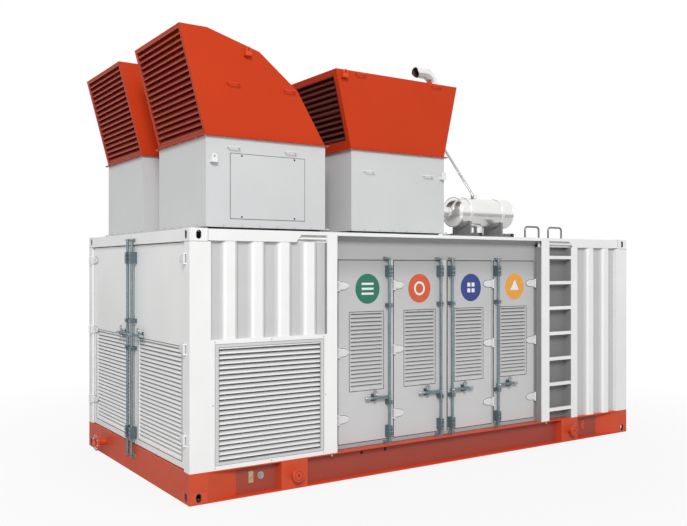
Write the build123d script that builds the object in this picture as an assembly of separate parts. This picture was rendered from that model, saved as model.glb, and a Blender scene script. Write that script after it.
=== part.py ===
from build123d import *
import math
import os

# Containerised natural gas generating set: a red skid frame with corner castings, a white
# steel enclosure with corrugated walls, louvres and service doors, and three roof hoods with
# an exhaust silencer between them. Millimetres, +Z up, origin at the bottom centre of the
# skid. The end doors are at -X and the long side with the hinged service doors is at -Y.

# Overall envelope of the enclosure, over the corner castings
LENGTH = 6058.0
WIDTH = 2832.0
HEIGHT = 2438.0
BASE_H = 280.0

# Corner castings
CASTING_L = 178.0
CASTING_W = 162.0
CASTING_H = 118.0
CASTING_WALL = 26.0
SIDE_HOLE_W = 51.0
SIDE_HOLE_H = 79.5
FLOOR_HOLE_L = 124.0
FLOOR_HOLE_W = 63.5

# Skid frame
BEAM_D = 80.0
WEB_T = 8.0
FLANGE_T = 12.0
GUSSET_RUN = 320.0
GUSSET_T = 8.0
STUB_WALL = 8.0
END_BEAM_D = 70.0
BEARER_H = 120.0
BEARER_W = 60.0
BEARER_WALL = 5.0
BEARER_COUNT = 11
DECK_T = 6.0
BLOCK_W = 290.0
BLOCK_FROM_END = 1082.0
BLOCK_WALL = 12.0
TRUNNION_R = 48.0
TRUNNION_L = 62.0
TRUNNION_DISC_R = 64.0
TRUNNION_DISC_T = 12.0
DRAIN_HOLE_R = 19.0
DRAIN_HOLE_Z = 222.0
DRAIN_HOLES_FROM_END = (1927.0, 2227.0)

# Gas inlet flange on the skid's end beam
GAS_FROM_SIDE = 2270.0
GAS_Z = 150.0
GAS_PIPE_R = 38.0
GAS_BORE_R = 34.0
GAS_REACH = 105.0
GAS_FLANGE_R = 92.5
GAS_FLANGE_T = 20.0
GAS_PCD = 145.0
GAS_BOLTS = 8
GAS_HOLE_R = 9.0

# Enclosure frame
POST_L = 207.0
POST_W = 117.0
POST_WALL = 6.0
ROOF_DROP = 6.0
RAIL_H = 104.0
RAIL_W = 60.0
EAVE_H = 34.0
POCKET_D = 40.0
RAIL_WALL = 5.0
POCKET_SLANT = 60.0
POCKET_L = 415.0
LASHING_R = 11.0
ROOF_T = 3.0
BOW_W = 50.0
BOW_WALL = 4.0

# Long side layout, as distances from the door end or from the rear end
PANEL_END = 1453.0
BAY_START = 1573.0
BAY_FROM_REAR = 1572.0
LADDER_W = 387.0
LADDER_FROM_REAR = 1440.0
LADDER_POST_L = 111.0

# Corrugated sheet
SHEET_T = 2.0
CORR_D = 36.0
CORR_PITCH = 286.0
CORR_CREST = 84.0
CORR_SLOPE = 52.0
PANEL_INSET = 6.0
LEFT_CREST = 200.5
RIGHT_CREST = 262.0
REAR_CREST = 156.0

# Side louvre panel
LOUVRE_TOP = 1442.0
LOUVRE_BAR = 40.0
LOUVRE_D = 60.0
LOUVRE_PITCH = 45.0

# Louvre blades, used by every louvre
BLADE_T = 2.0
BLADE_LIP = 9.0
BLADE_SET = 4.0
FRAME_BITE = 1.0

# Door bay: the service doors stand back in it
RECESS = 101.0
DOOR_T = 40.0
DOOR_SKIN = 2.5
DOOR_RIM = 30.0
DOOR_GAP = 6.0
FREE_GAP = 10.0
SIDE_DOOR_Z0 = 323.0
SIDE_DOOR_DROP = 277.0
DOOR_WIDTHS = (638.0, 638.0, 670.0, 660.0)
BAY_STRIPS = (79.0, 66.0, 110.0, 30.0, 22.0)
BAY_POST_D = 60.0
BAY_POST_SET = 4.0
HEADER_D = 50.0
BAY_WALL = 4.0

# Louvre inserts in the doors
LOUVRE_HINGE_MARGINS = (136.0, 136.0, 135.0, 125.0)
LOUVRE_FREE_MARGINS = (67.0, 67.0, 100.0, 100.0)
DOOR_LOUVRE_H = 800.0
DOOR_LOUVRE_FROM_BOTTOM = 516.0
DOOR_LOUVRE_BAR = 18.0
DOOR_LOUVRE_D = 34.0
DOOR_LOUVRE_PITCH = 40.0

# End doors
END_INSET = 24.0
END_DOOR_Z0 = 286.0
END_LOUVRE_MARGIN = 90.0
END_LOUVRE_FREE = 110.0
END_LOUVRE_FROM_BOTTOM = 62.0
END_LOUVRE_H = 1030.0

# Strap hinges
PIN_R = 6.0
BARREL_R = 12.0
BARREL_H = 76.0
BORE_CLEAR = 0.3
LUG_T = 10.0
LUG_CLEAR = 1.0
STRAP_L = 122.0
STRAP_T = 6.0
STRAP_H = 74.0
STRAP_TIP_H = 30.0
SIDE_PIN_PROUD = 18.0
SIDE_PIN_OVER = 4.0
END_PIN_OVER = 44.0
END_PIN_PROUD = 42.0
SIDE_HINGE_FROM_ENDS = (248.0, 258.0)
END_HINGE_FROM_ENDS = (274.0, 146.0)
END_HINGE_RISE = 1079.0

# Lock rods
ROD_R = 14.0
ROD_INSET = 27.0
END_ROD_INSET = 55.0
ROD_OFF = 50.0
ROD_CLEAR = 0.5
GUIDE_T = 8.0
GUIDE_TALL = 116.0
GUIDE_SMALL = 40.0
SIDE_GUIDES_UP = (82.0, 382.0)
SIDE_GUIDES_DOWN = (462.0, 110.0)
END_GUIDES_UP = (120.0, 980.0, 1260.0)
END_GUIDE_DOWN = 128.0
CAM_L = 40.0
CAM_W = 22.0
CAM_T = 10.0
CAM_CLEAR = 5.0
KEEPER_T = 5.0
KEEPER_STANDOFF = 1.0
END_CAM_DROP = 110.0
END_CAM_RISE = 58.0
SIDE_HANDLE_UP = 440.0
END_HANDLE_UP = 1120.0
HANDLE_L = 300.0
HANDLE_T = 12.0
HANDLE_H = 26.0
HANDLE_HUB_R = 24.0
CATCH_FROM_ROD = 185.0
CATCH_W = 40.0
CATCH_EAR_T = 6.0
CATCH_DISC_R = 30.0

# Ladder let into the side
RUNG_COUNT = 7
RUNG_PITCH = 300.0
RUNG_DROP = 232.0
RUNG_H = 38.0
RUNG_D = 30.0
LADDER_SHEET = 3.0

# Grab hoops on the roof edge
HOOP_W = 230.0
HOOP_H = 128.0
HOOP_R = 11.0
HOOP_BEND = 40.0
HOOPS_FROM_REAR = (1694.0, 1302.0)
HOOP_FROM_SIDE = 40.0

# Roof hoods
CURB_H = 28.0
CURB_IN = 45.0
CURB_T = 5.0
HOOD_SHEET = 3.0
PLENUM_H = 815.0
FLANGE_OUT = 32.0
HOOD_FLANGE_T = 6.0
HOOD_FROM_END = 203.0
HOOD_FROM_SIDE = 93.0
HOOD_L = 1288.0
HOOD_W = 1092.0
CENTRE_FROM_END = 1808.0
CENTRE_L = 1237.0
COWL_LEAN = 262.0
COWL_FACE_H = 968.0
COWL_TOP_L = 272.0
COWL_BREAK_1_RUN = 548.0
COWL_BREAK_1_RISE = 822.0
COWL_BREAK_2_RUN = 966.0
COWL_BREAK_2_RISE = 506.0
CENTRE_COWL_H = 786.0
CENTRE_LEAN = 187.0
COWL_BORDER = 26.0
CENTRE_BORDER = 60.0
CENTRE_FOOT_BORDER = 92.0
COWL_LOUVRE_D = 50.0
COWL_BAR = 12.0
COWL_PITCH = 55.0

# Lifting lugs and handles on the hoods
LUG_PLATE_T = 14.0
LUG_R = 27.0
LUG_HOLE_R = 13.0
LUG_FOOT_W = 62.0
LUG_FOOT_H = 34.0
LUG_REACH = 46.0
LUG_DROP = 224.0
NEAR_LUG_RUN = 65.0
NEAR_HIGH_LUG_RUN = 412.0
NEAR_HIGH_LUG_RISE = 778.0
CENTRE_LUG_SET = 36.0
CENTRE_HIGH_LUG_OUT = 100.0
CENTRE_HIGH_LUG_RISE = 716.0
GRIP_L = 112.0
GRIP_REACH = 46.0
GRIP_R = 5.0
GRIP_BEND = 14.0
NEAR_GRIP_RUN = 269.0
NEAR_GRIP_APART = 610.0
NEAR_HIGH_GRIP_APART = 596.0
NEAR_GRIP_DROP = 90.0
NEAR_GRIP_RISE = 490.0
CENTRE_GRIP_RUN = 208.0
CENTRE_GRIP_APART = 788.0
CENTRE_GRIP_DROP = 212.0
CENTRE_HIGH_GRIP_RUN = 104.0
CENTRE_HIGH_GRIP_APART = 1008.0
CENTRE_HIGH_GRIP_RISE = 756.0
GRIP_SIDES = 8

# Exhaust silencer and stack
SILENCER_FROM_SIDE = 650.0
SILENCER_RISE = 312.0
SILENCER_R = 176.0
SILENCER_START = 3700.0
SILENCER_L = 830.0
SILENCER_DISH = 84.0
SILENCER_SHEET = 4.0
PIPE_R = 60.0
PIPE_WALL = 4.0
STACK_FROM_END = 3386.0
STACK_BEND = 140.0
OUTLET_RISE = 1898.0
OUTLET_REACH = 275.0
OUTLET_SLANT = 33.0
RISER_FROM_END = 4104.0
RISER_R = 76.0
RISER_FLANGE_R = 120.0
RISER_FLANGE_T = 14.0
CRADLES_FROM_END = (3846.0, 4362.0)
CRADLE_W = 60.0
CRADLE_L = 620.0
CRADLE_WALL = 4.0
SADDLE_T = 24.0
SADDLE_L = 300.0
STRAP_BAND_T = 4.0
STRAP_BAND_W = 40.0
BAND_CLEAR = 0.3
BRACE_R = 17.0
BRACE_FOOT_FROM_END = 4040.0
BRACE_HEAD_RISE = 1194.0
BRACE_FOOT_H = 46.0
COLLAR_T = 8.0
COLLAR_H = 60.0

# Places worked out from the sizes above
X0 = -LENGTH / 2
Y0 = -WIDTH / 2
ROOF_Z = HEIGHT - ROOF_DROP
RAIL_Z = ROOF_Z - RAIL_H
BOW_H = EAVE_H - ROOF_T
SILENCER_Z = ROOF_Z + SILENCER_RISE
OUTLET_Z = ROOF_Z + OUTLET_RISE
BRACE_HEAD_Z = ROOF_Z + BRACE_HEAD_RISE
END_RAIL_Z = HEIGHT - CASTING_H
BAY_END = LENGTH - BAY_FROM_REAR
LADDER_START = LENGTH - LADDER_FROM_REAR
LADDER_END = LADDER_START + LADDER_W
LADDER_POST_END = LADDER_END + LADDER_POST_L
SIDE_DOOR_Z1 = HEIGHT - SIDE_DOOR_DROP
ROD_HALF = ROD_R + ROD_CLEAR
SIDE_DOOR_H = SIDE_DOOR_Z1 - SIDE_DOOR_Z0
END_DOOR_Z1 = END_RAIL_Z - DOOR_GAP
END_DOOR_H = END_DOOR_Z1 - END_DOOR_Z0
END_DOOR_W = WIDTH / 2 - POST_W - DOOR_GAP - FREE_GAP / 2
END_ROD_X = END_DOOR_W - END_ROD_INSET
PLENUM_Z = ROOF_Z + CURB_H
COWL_Z = PLENUM_Z + PLENUM_H


def block(u0, u1, v0, v1, z0, z1):
    """A box given by its distances from the door end, from the near side and from the ground."""
    centre = Pos(X0 + (u0 + u1) / 2, Y0 + (v0 + v1) / 2, (z0 + z1) / 2)
    return centre * Box(u1 - u0, v1 - v0, z1 - z0)


def tube_block(u0, u1, v0, v1, z0, z1, wall, along):
    """A square tube between two corners, open at both ends along one axis."""
    gap = {"u": (0, wall, wall), "v": (wall, 0, wall), "z": (wall, wall, 0)}[along]
    inner = block(u0 + gap[0], u1 - gap[0], v0 + gap[1], v1 - gap[1], z0 + gap[2], z1 - gap[2])
    return block(u0, u1, v0, v1, z0, z1) - inner


def local_block(x0, x1, y0, y1, z0, z1):
    """A box between two corners in a piece's own frame."""
    return Pos((x0 + x1) / 2, (y0 + y1) / 2, (z0 + z1) / 2) * Box(x1 - x0, y1 - y0, z1 - z0)


def mirrored_y(shape):
    return mirror(shape, about=Plane.XZ)


def mirrored_x(shape):
    return mirror(shape, about=Plane.YZ)


def both_sides(solids):
    """The solids and their copies on the far long side."""
    return solids + [mirrored_y(s) for s in solids]


def four_corners(solid):
    """A solid of the near door-end corner, copied to all four corners."""
    return both_sides([solid, mirrored_x(solid)])


def prism(points, plane, depth):
    """A polygon drawn on a plane and extruded along its normal."""
    face = make_face(Polyline(*points, close=True))
    return extrude(plane * face, amount=depth)


# Skid frame

def casting():
    """Hollow corner casting with its oval apertures, in the near door-end corner at ground."""
    body = block(0, CASTING_L, 0, CASTING_W, 0, CASTING_H)
    wall = CASTING_WALL
    body -= block(wall, CASTING_L - wall, wall, CASTING_W - wall, wall, CASTING_H - wall)
    mid_x = X0 + CASTING_L / 2
    mid_y = Y0 + CASTING_W / 2
    mid_z = CASTING_H / 2
    slot = SlotOverall(SIDE_HOLE_H, SIDE_HOLE_W, rotation=90)
    side = Plane(origin=(mid_x, Y0, mid_z), x_dir=(1, 0, 0), z_dir=(0, -1, 0))
    end = Plane(origin=(X0, mid_y, mid_z), x_dir=(0, -1, 0), z_dir=(-1, 0, 0))
    body -= extrude(side * slot, amount=-wall)
    body -= extrude(end * slot, amount=-wall)
    floor = Plane(origin=(mid_x, mid_y, 0))
    body -= extrude(floor * SlotOverall(FLOOR_HOLE_L, FLOOR_HOLE_W), amount=CASTING_H)
    return body


def bottom_castings():
    return four_corners(casting())


def top_castings():
    return four_corners(Pos(0, 0, HEIGHT - CASTING_H) * casting())


def side_beam():
    """Channel with its toes outward, drain holes in its web."""
    u0, u1 = CASTING_L, LENGTH - CASTING_L
    beam = block(u0, u1, 0, BEAM_D + WEB_T, 0, BASE_H)
    beam -= block(u0, u1, 0, BEAM_D, FLANGE_T, BASE_H - FLANGE_T)
    for u in DRAIN_HOLES_FROM_END:
        plane = Plane(origin=(X0 + u, Y0 + BEAM_D, DRAIN_HOLE_Z), z_dir=(0, 1, 0))
        beam -= extrude(plane * Circle(DRAIN_HOLE_R), amount=WEB_T)
    return beam


def base_corner():
    """Stub post above the casting and the slanted gusset plate that runs back to the web."""
    stub = tube_block(0, CASTING_L, 0, CASTING_W, CASTING_H, BASE_H, STUB_WALL, "z")
    start = (X0 + CASTING_L, Y0)
    end = (X0 + CASTING_L + GUSSET_RUN, Y0 + BEAM_D)
    points = [start, end, (end[0] - GUSSET_T * 2, end[1]), (start[0], start[1] + GUSSET_T)]
    return [stub, prism(points, Plane.XY.offset(FLANGE_T), BASE_H - 2 * FLANGE_T)]


def base_corners():
    stub, gusset = base_corner()
    return four_corners(stub) + four_corners(gusset)


def lifting_block():
    """Box let into the channel, with the round lifting trunnion and its end disc."""
    u0 = BLOCK_FROM_END - BLOCK_W / 2
    u1 = u0 + BLOCK_W
    body = block(u0, u1, 0, BEAM_D, FLANGE_T, BASE_H - FLANGE_T)
    body -= block(u0 + BLOCK_WALL, u1 - BLOCK_WALL, BLOCK_WALL, BEAM_D,
                  FLANGE_T + BLOCK_WALL, BASE_H - FLANGE_T - BLOCK_WALL)
    face = Plane(origin=(X0 + BLOCK_FROM_END, Y0, BASE_H / 2), z_dir=(0, -1, 0))
    body += extrude(face * Circle(TRUNNION_R), amount=TRUNNION_L)
    tip = face.offset(TRUNNION_L)
    return body + extrude(tip * Circle(TRUNNION_DISC_R), amount=TRUNNION_DISC_T)


def base_end_beam():
    """Channel across the end with its toes inward."""
    v0, v1 = CASTING_W, WIDTH - CASTING_W
    beam = block(0, END_BEAM_D, v0, v1, 0, BASE_H)
    return beam - block(WEB_T, END_BEAM_D, v0, v1, FLANGE_T, BASE_H - FLANGE_T)


def floor_bearers():
    """Square tubes across the skid under the deck, from web to web."""
    inner = BEAM_D + WEB_T
    top = BASE_H - DECK_T
    start = CASTING_L + BEARER_W
    pitch = (LENGTH - 2 * start) / (BEARER_COUNT - 1)
    bearers = []
    for i in range(BEARER_COUNT):
        u = start + pitch * i
        bearers.append(tube_block(u - BEARER_W / 2, u + BEARER_W / 2, inner, WIDTH - inner,
                                  top - BEARER_H, top, BEARER_WALL, "v"))
    return bearers


def floor_deck():
    """Steel floor plate, notched round the stub posts at the corners."""
    inner = BEAM_D + WEB_T
    deck = block(END_BEAM_D, LENGTH - END_BEAM_D, inner, WIDTH - inner, BASE_H - DECK_T, BASE_H)
    for notch in four_corners(block(0, CASTING_L, 0, CASTING_W, BASE_H - DECK_T, BASE_H)):
        deck -= notch
    return [deck]


def gas_inlet():
    """Pipe stub through the end beam with a drilled flange."""
    face = Plane(origin=(X0, Y0 + GAS_FROM_SIDE, GAS_Z), z_dir=(-1, 0, 0))
    stub = extrude(face * Circle(GAS_PIPE_R), amount=GAS_REACH)
    flange = extrude(face.offset(GAS_REACH - GAS_FLANGE_T) * Circle(GAS_FLANGE_R), amount=GAS_FLANGE_T)
    inlet = stub + flange - extrude(face * Circle(GAS_BORE_R), amount=GAS_REACH)
    ring = PolarLocations(GAS_PCD / 2, GAS_BOLTS, start_angle=180 / GAS_BOLTS)
    for place in ring:
        hole = face.offset(GAS_REACH - GAS_FLANGE_T) * place * Circle(GAS_HOLE_R)
        inlet -= extrude(hole, amount=GAS_FLANGE_T)
    return [inlet]


# Enclosure frame

def corner_posts():
    post = tube_block(0, POST_L, 0, POST_W, BASE_H, HEIGHT - CASTING_H, POST_WALL, "z")
    return four_corners(post)


def side_posts():
    """Box posts either side of the door bay and of the ladder."""
    edges = ((PANEL_END, BAY_START), (BAY_END, LADDER_START), (LADDER_END, LADDER_POST_END))
    posts = [tube_block(a, b, 0, RECESS, BASE_H, RAIL_Z, POST_WALL, "z") for a, b in edges]
    return both_sides(posts)


def pocket(u_slant, u_square, grow):
    """Pocket in the rail's face with one slanted end, under the eave; grow adds its lining."""
    side = math.copysign(1.0, u_square - u_slant)
    z0, z1 = RAIL_Z, ROOF_Z - EAVE_H + grow
    a = u_slant - side * grow
    b = u_square + side * grow
    flat = [(X0 + a, z0), (X0 + a + side * POCKET_SLANT, z1), (X0 + b, z1), (X0 + b, z0)]
    return prism(flat, Plane(origin=(0, Y0, 0), x_dir=(1, 0, 0), z_dir=(0, -1, 0)), -POCKET_D - grow)


def lashing_bar(u0, u1):
    z = (RAIL_Z + ROOF_Z - EAVE_H) / 2
    start = Plane(origin=(X0 + u0, Y0 + POCKET_D / 2, z), z_dir=(1, 0, 0))
    return extrude(start * Circle(LASHING_R), amount=u1 - u0)


def top_side_rail():
    """Rail along the roof edge, cut away over the door bay, with a lashing pocket at each end."""
    u0, u1 = CASTING_L, LENGTH - CASTING_L
    rail = tube_block(u0, u1, 0, RAIL_W, RAIL_Z, ROOF_Z, RAIL_WALL, "u")
    rail -= block(BAY_START, BAY_END, 0, RAIL_W, RAIL_Z, ROOF_Z - EAVE_H)
    left = (PANEL_END + POCKET_SLANT - POCKET_L, PANEL_END)
    right = (LADDER_START + POCKET_L, LADDER_START)
    rail += pocket(*left, RAIL_WALL) + pocket(*right, RAIL_WALL)
    rail -= pocket(*left, 0) + pocket(*right, 0)
    rail += lashing_bar(left[0] + POCKET_SLANT / 2, left[1])
    rail += lashing_bar(right[1], right[0] - POCKET_SLANT / 2)
    return rail


def top_end_rail():
    return tube_block(0, RAIL_W, CASTING_W, WIDTH - CASTING_W, END_RAIL_Z, ROOF_Z, RAIL_WALL, "v")


def hood_spans():
    """Plan of each roof opening: distances from the door end and from the near side."""
    near = (HOOD_FROM_END, HOOD_FROM_END + HOOD_L, HOOD_FROM_SIDE, HOOD_FROM_SIDE + HOOD_W)
    far = (near[0], near[1], WIDTH - near[3], WIDTH - near[2])
    centre = (CENTRE_FROM_END, CENTRE_FROM_END + CENTRE_L, HOOD_FROM_SIDE, WIDTH - HOOD_FROM_SIDE)
    return {"near": near, "far": far, "centre": centre}


def roof_panel():
    """Roof sheet inside the rails, open under each hood and under the exhaust riser."""
    sheet = block(RAIL_W, LENGTH - RAIL_W, RAIL_W, WIDTH - RAIL_W, ROOF_Z - ROOF_T, ROOF_Z)
    for notch in four_corners(block(0, CASTING_L, 0, CASTING_W, ROOF_Z - ROOF_T, ROOF_Z)):
        sheet -= notch
    for u0, u1, v0, v1 in hood_spans().values():
        sheet -= block(u0 + CURB_IN, u1 - CURB_IN, v0 + CURB_IN, v1 - CURB_IN, ROOF_Z - ROOF_T, ROOF_Z)
    centre = Plane(origin=(X0 + RISER_FROM_END, Y0 + SILENCER_FROM_SIDE, ROOF_Z - ROOF_T))
    return [sheet - extrude(centre * Circle(RISER_R), amount=ROOF_T)]


def roof_bows():
    """Cross members under the roof sheet, clear of the roof openings."""
    spans = hood_spans()
    between = (spans["near"][1] + spans["centre"][0]) / 2
    after = spans["centre"][1] + BOW_W
    rear = (CRADLES_FROM_END[1] + LENGTH - RAIL_W) / 2
    z1 = ROOF_Z - ROOF_T
    bows = []
    for u in (between, after, CRADLES_FROM_END[1], rear):
        bows.append(tube_block(u - BOW_W / 2, u + BOW_W / 2, RAIL_W, WIDTH - RAIL_W,
                               z1 - BOW_H, z1, BOW_WALL, "v"))
    return bows


# Walls

def corrugated(length, first_crest):
    """Outline of trapezoid sheet in plan: crests at y = 0, troughs CORR_D behind them."""
    half = CORR_CREST / 2
    outer = [(0.0, CORR_D)]
    crest = first_crest
    while crest + half + CORR_SLOPE < length:
        outer += [(crest - half - CORR_SLOPE, CORR_D), (crest - half, 0.0)]
        outer += [(crest + half, 0.0), (crest + half + CORR_SLOPE, CORR_D)]
        crest += CORR_PITCH
    outer.append((length, CORR_D))
    inner = [(x, y + SHEET_T) for x, y in reversed(outer)]
    return make_face(Polyline(*outer, *inner, close=True))


def wall_panel(u0, u1, z0, z1, first_crest):
    sheet = extrude(corrugated(u1 - u0, first_crest), amount=z1 - z0)
    return Pos(X0 + u0, Y0 + PANEL_INSET, z0) * sheet


def side_wall_panels():
    upper = wall_panel(POST_L, PANEL_END, LOUVRE_TOP, RAIL_Z, LEFT_CREST)
    tall = wall_panel(LADDER_POST_END, LENGTH - POST_L, BASE_H, RAIL_Z, RIGHT_CREST)
    return both_sides([upper, tall])


def rear_wall():
    width = WIDTH - 2 * POST_W
    sheet = extrude(corrugated(width, REAR_CREST), amount=END_RAIL_Z - BASE_H)
    place = Pos(LENGTH / 2 - PANEL_INSET, -width / 2, BASE_H) * Rot(0, 0, 90)
    return [place * sheet]


def louvre(width, height, depth, bar, pitch):
    """Framed bank of folded blades: x across, y inward from the outer face, z up."""
    half = width / 2
    frame = local_block(-half, half, 0, depth, 0, height)
    frame -= local_block(-half + bar, half - bar, 0, depth, bar, height - bar)
    clear = height - 2 * bar
    count = max(1, round(clear / pitch))
    step = clear / count
    rise = step * 0.72
    y0 = BLADE_SET
    y1 = depth - BLADE_SET
    profile = [(y0, 0), (y0 + BLADE_T, 0), (y0 + BLADE_T, BLADE_LIP),
               (y1, BLADE_LIP + rise), (y1, BLADE_LIP + rise + BLADE_T), (y0, BLADE_LIP + BLADE_T)]
    reach = half - bar + FRAME_BITE
    blade = prism(profile, Plane(origin=(-reach, 0, 0), x_dir=(0, 1, 0), z_dir=(1, 0, 0)), 2 * reach)
    lift = (step - rise - BLADE_LIP - BLADE_T) / 2
    blades = [Pos(0, 0, bar + lift + step * i) * blade for i in range(count)]
    return frame.fuse(*blades)


def side_louvres():
    width = PANEL_END - POST_L
    panel = louvre(width, LOUVRE_TOP - BASE_H, LOUVRE_D, LOUVRE_BAR, LOUVRE_PITCH)
    return both_sides([Pos(X0 + POST_L + width / 2, Y0, BASE_H) * panel])


# Door bay

def bay_headers():
    """Header with its drip hood and the sill of the door bay, behind the plane of the leaves."""
    face = RECESS + BAY_POST_SET
    back = face + HEADER_D
    top = ROOF_Z - EAVE_H
    header = tube_block(BAY_START, BAY_END, face, back, SIDE_DOOR_Z1 + DOOR_GAP, top, BAY_WALL, "u")
    plane = Plane(origin=(X0 + BAY_START, 0, 0), x_dir=(0, 1, 0), z_dir=(1, 0, 0))
    slope = [(Y0 + RAIL_W, top), (Y0 + face, top - HEADER_D), (Y0 + face, top - HEADER_D + BAY_WALL * 2),
             (Y0 + RAIL_W + BAY_WALL * 2, top)]
    hood = prism(slope, plane, BAY_END - BAY_START)
    sill = tube_block(BAY_START, BAY_END, face, back, BASE_H, SIDE_DOOR_Z0 - DOOR_GAP, BAY_WALL, "u")
    return both_sides([header + hood, sill])


def door_edges():
    """Left and right edge of each service door: the doors share what the strips leave of the bay."""
    share = (BAY_END - BAY_START - sum(BAY_STRIPS)) / sum(DOOR_WIDTHS)
    edges = []
    u = BAY_START
    for strip, width in zip(BAY_STRIPS, DOOR_WIDTHS):
        edges.append((u + strip, u + strip + width * share))
        u = edges[-1][1]
    return edges


def bay_edges():
    """Edges of the fixed strips between the doors, from the leaves and their gaps."""
    (hinge_1, free_1), (hinge_2, free_2), (free_3, hinge_3), (free_4, hinge_4) = door_edges()
    return ((BAY_START, hinge_1 - DOOR_GAP), (free_1 + FREE_GAP, hinge_2 - DOOR_GAP),
            (free_2 + FREE_GAP, free_3 - FREE_GAP), (hinge_3 + DOOR_GAP, free_4 - FREE_GAP),
            (hinge_4 + DOOR_GAP, BAY_END))


def bay_posts():
    """Tube posts between and beside the service doors."""
    face = RECESS + BAY_POST_SET
    z0 = SIDE_DOOR_Z0 - DOOR_GAP
    z1 = SIDE_DOOR_Z1 + DOOR_GAP
    posts = [tube_block(a, b, face, face + BAY_POST_D, z0, z1, BAY_WALL, "z") for a, b in bay_edges()]
    return both_sides(posts)


def ladder_rungs():
    """Flat rungs between the two uprights."""
    rungs = []
    for i in range(RUNG_COUNT):
        z = HEIGHT - RUNG_DROP - RUNG_PITCH * i
        rungs.append(block(LADDER_START, LADDER_END, 0, RUNG_D, z - RUNG_H / 2, z + RUNG_H / 2))
    return both_sides(rungs)


def ladder_backs():
    back = block(LADDER_START - POST_WALL, LADDER_END + POST_WALL, RECESS, RECESS + LADDER_SHEET,
                 BASE_H, RAIL_Z)
    return both_sides([back])


# Doors, each drawn with its hinge edge at x = 0, outer face at y = 0 and bottom at z = 0

def door_leaf(width, height, louvre_x, louvre_z, louvre_w, louvre_h):
    """Folded sheet leaf with a rim all round and a louvre set into it."""
    leaf = local_block(0, width, 0, DOOR_T, 0, height)
    leaf -= local_block(DOOR_SKIN, width - DOOR_SKIN, DOOR_SKIN, DOOR_T - DOOR_SKIN,
                        DOOR_SKIN, height - DOOR_SKIN)
    leaf -= local_block(DOOR_RIM, width - DOOR_RIM, DOOR_T - DOOR_SKIN, DOOR_T, DOOR_RIM, height - DOOR_RIM)
    x1 = louvre_x + louvre_w
    leaf -= local_block(louvre_x, x1, 0, DOOR_SKIN, louvre_z, louvre_z + louvre_h)
    insert = louvre(louvre_w, louvre_h, DOOR_LOUVRE_D, DOOR_LOUVRE_BAR, DOOR_LOUVRE_PITCH)
    return leaf.fuse(Pos(louvre_x + louvre_w / 2, 0, louvre_z) * insert)


def strap_hinge(over, proud, z):
    """Tapered strap on the leaf, stepped out to the barrel that turns on the fixed pin."""
    half = STRAP_T / 2
    taper = STRAP_L * 0.3
    points = [(0, -STRAP_H / 2), (taper, -STRAP_H / 2), (STRAP_L, -STRAP_TIP_H / 2),
              (STRAP_L, STRAP_TIP_H / 2), (taper, STRAP_H / 2), (0, STRAP_H / 2)]
    plate = prism(points, Plane(origin=(0, 0, z), x_dir=(1, 0, 0), z_dir=(0, -1, 0)), STRAP_T)
    low, high = z - BARREL_H / 2, z + BARREL_H / 2
    riser = local_block(0, STRAP_T, -proud - half, 0, low, high)
    arm = local_block(-over, STRAP_T, -proud - half, -proud + half, low, high)
    barrel = Pos(-over, -proud, z) * Cylinder(BARREL_R, BARREL_H)
    bore = Pos(-over, -proud, z) * Cylinder(PIN_R + BORE_CLEAR, BARREL_H)
    return plate + riser + arm + barrel - bore


def hinge_lug(over, proud, z, back):
    """Fixed pair of ears with the pin through them, welded to the frame beside the leaf."""
    ear_z = BARREL_H / 2 + LUG_CLEAR
    solid = Pos(-over, -proud, z) * Cylinder(PIN_R, BARREL_H + 2 * (LUG_CLEAR + LUG_T))
    for side in (-1, 1):
        mid = z + side * (ear_z + LUG_T / 2)
        solid += Pos(-over, -proud, mid) * Cylinder(BARREL_R, LUG_T)
        solid += local_block(-over - BARREL_R, -DOOR_GAP, -proud, back, mid - LUG_T / 2, mid + LUG_T / 2)
    return solid


def rod_guide(x, z, tall):
    """Folded bracket on the leaf; the lock rod turns in the outer end of its long hole."""
    front = ROD_OFF + ROD_HALF
    half_w = ROD_HALF + GUIDE_T
    body = local_block(x - half_w, x + half_w, -front - GUIDE_T, 0, z - tall / 2, z + tall / 2)
    hole = SlotOverall(front - GUIDE_T, 2 * ROD_HALF, rotation=90)
    low = Plane(origin=(x, -(front + GUIDE_T) / 2, z - tall / 2))
    return body - extrude(low * hole, amount=tall)


def handle_catch(x, z):
    """Keeper for the handle: two ears above and below it and a round flap."""
    reach = ROD_OFF + HANDLE_T / 2
    gap = HANDLE_H / 2 + CAM_CLEAR
    body = local_block(x - CATCH_W / 2, x + CATCH_W / 2, -CATCH_EAR_T, 0, z - 2 * gap, z + 2 * gap)
    for side in (-1, 1):
        mid = z + side * (gap + CATCH_EAR_T / 2)
        body += local_block(x - CATCH_W / 2, x + CATCH_W / 2, -reach, 0,
                            mid - CATCH_EAR_T / 2, mid + CATCH_EAR_T / 2)
    disc = Plane(origin=(x, -reach + CATCH_EAR_T, z + gap + CATCH_DISC_R), z_dir=(0, -1, 0))
    return body + extrude(disc * Circle(CATCH_DISC_R), amount=CATCH_EAR_T)


def door_hardware(rod_x, over, proud, hinge_heights, guides, handle_up):
    """Everything bolted to a leaf's outer face, as separate pieces."""
    pieces = [strap_hinge(over, proud, z) for z in hinge_heights]
    pieces += [rod_guide(rod_x, z, tall) for z, tall in guides]
    pieces.append(handle_catch(rod_x - CATCH_FROM_ROD, handle_up))
    return pieces


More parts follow.
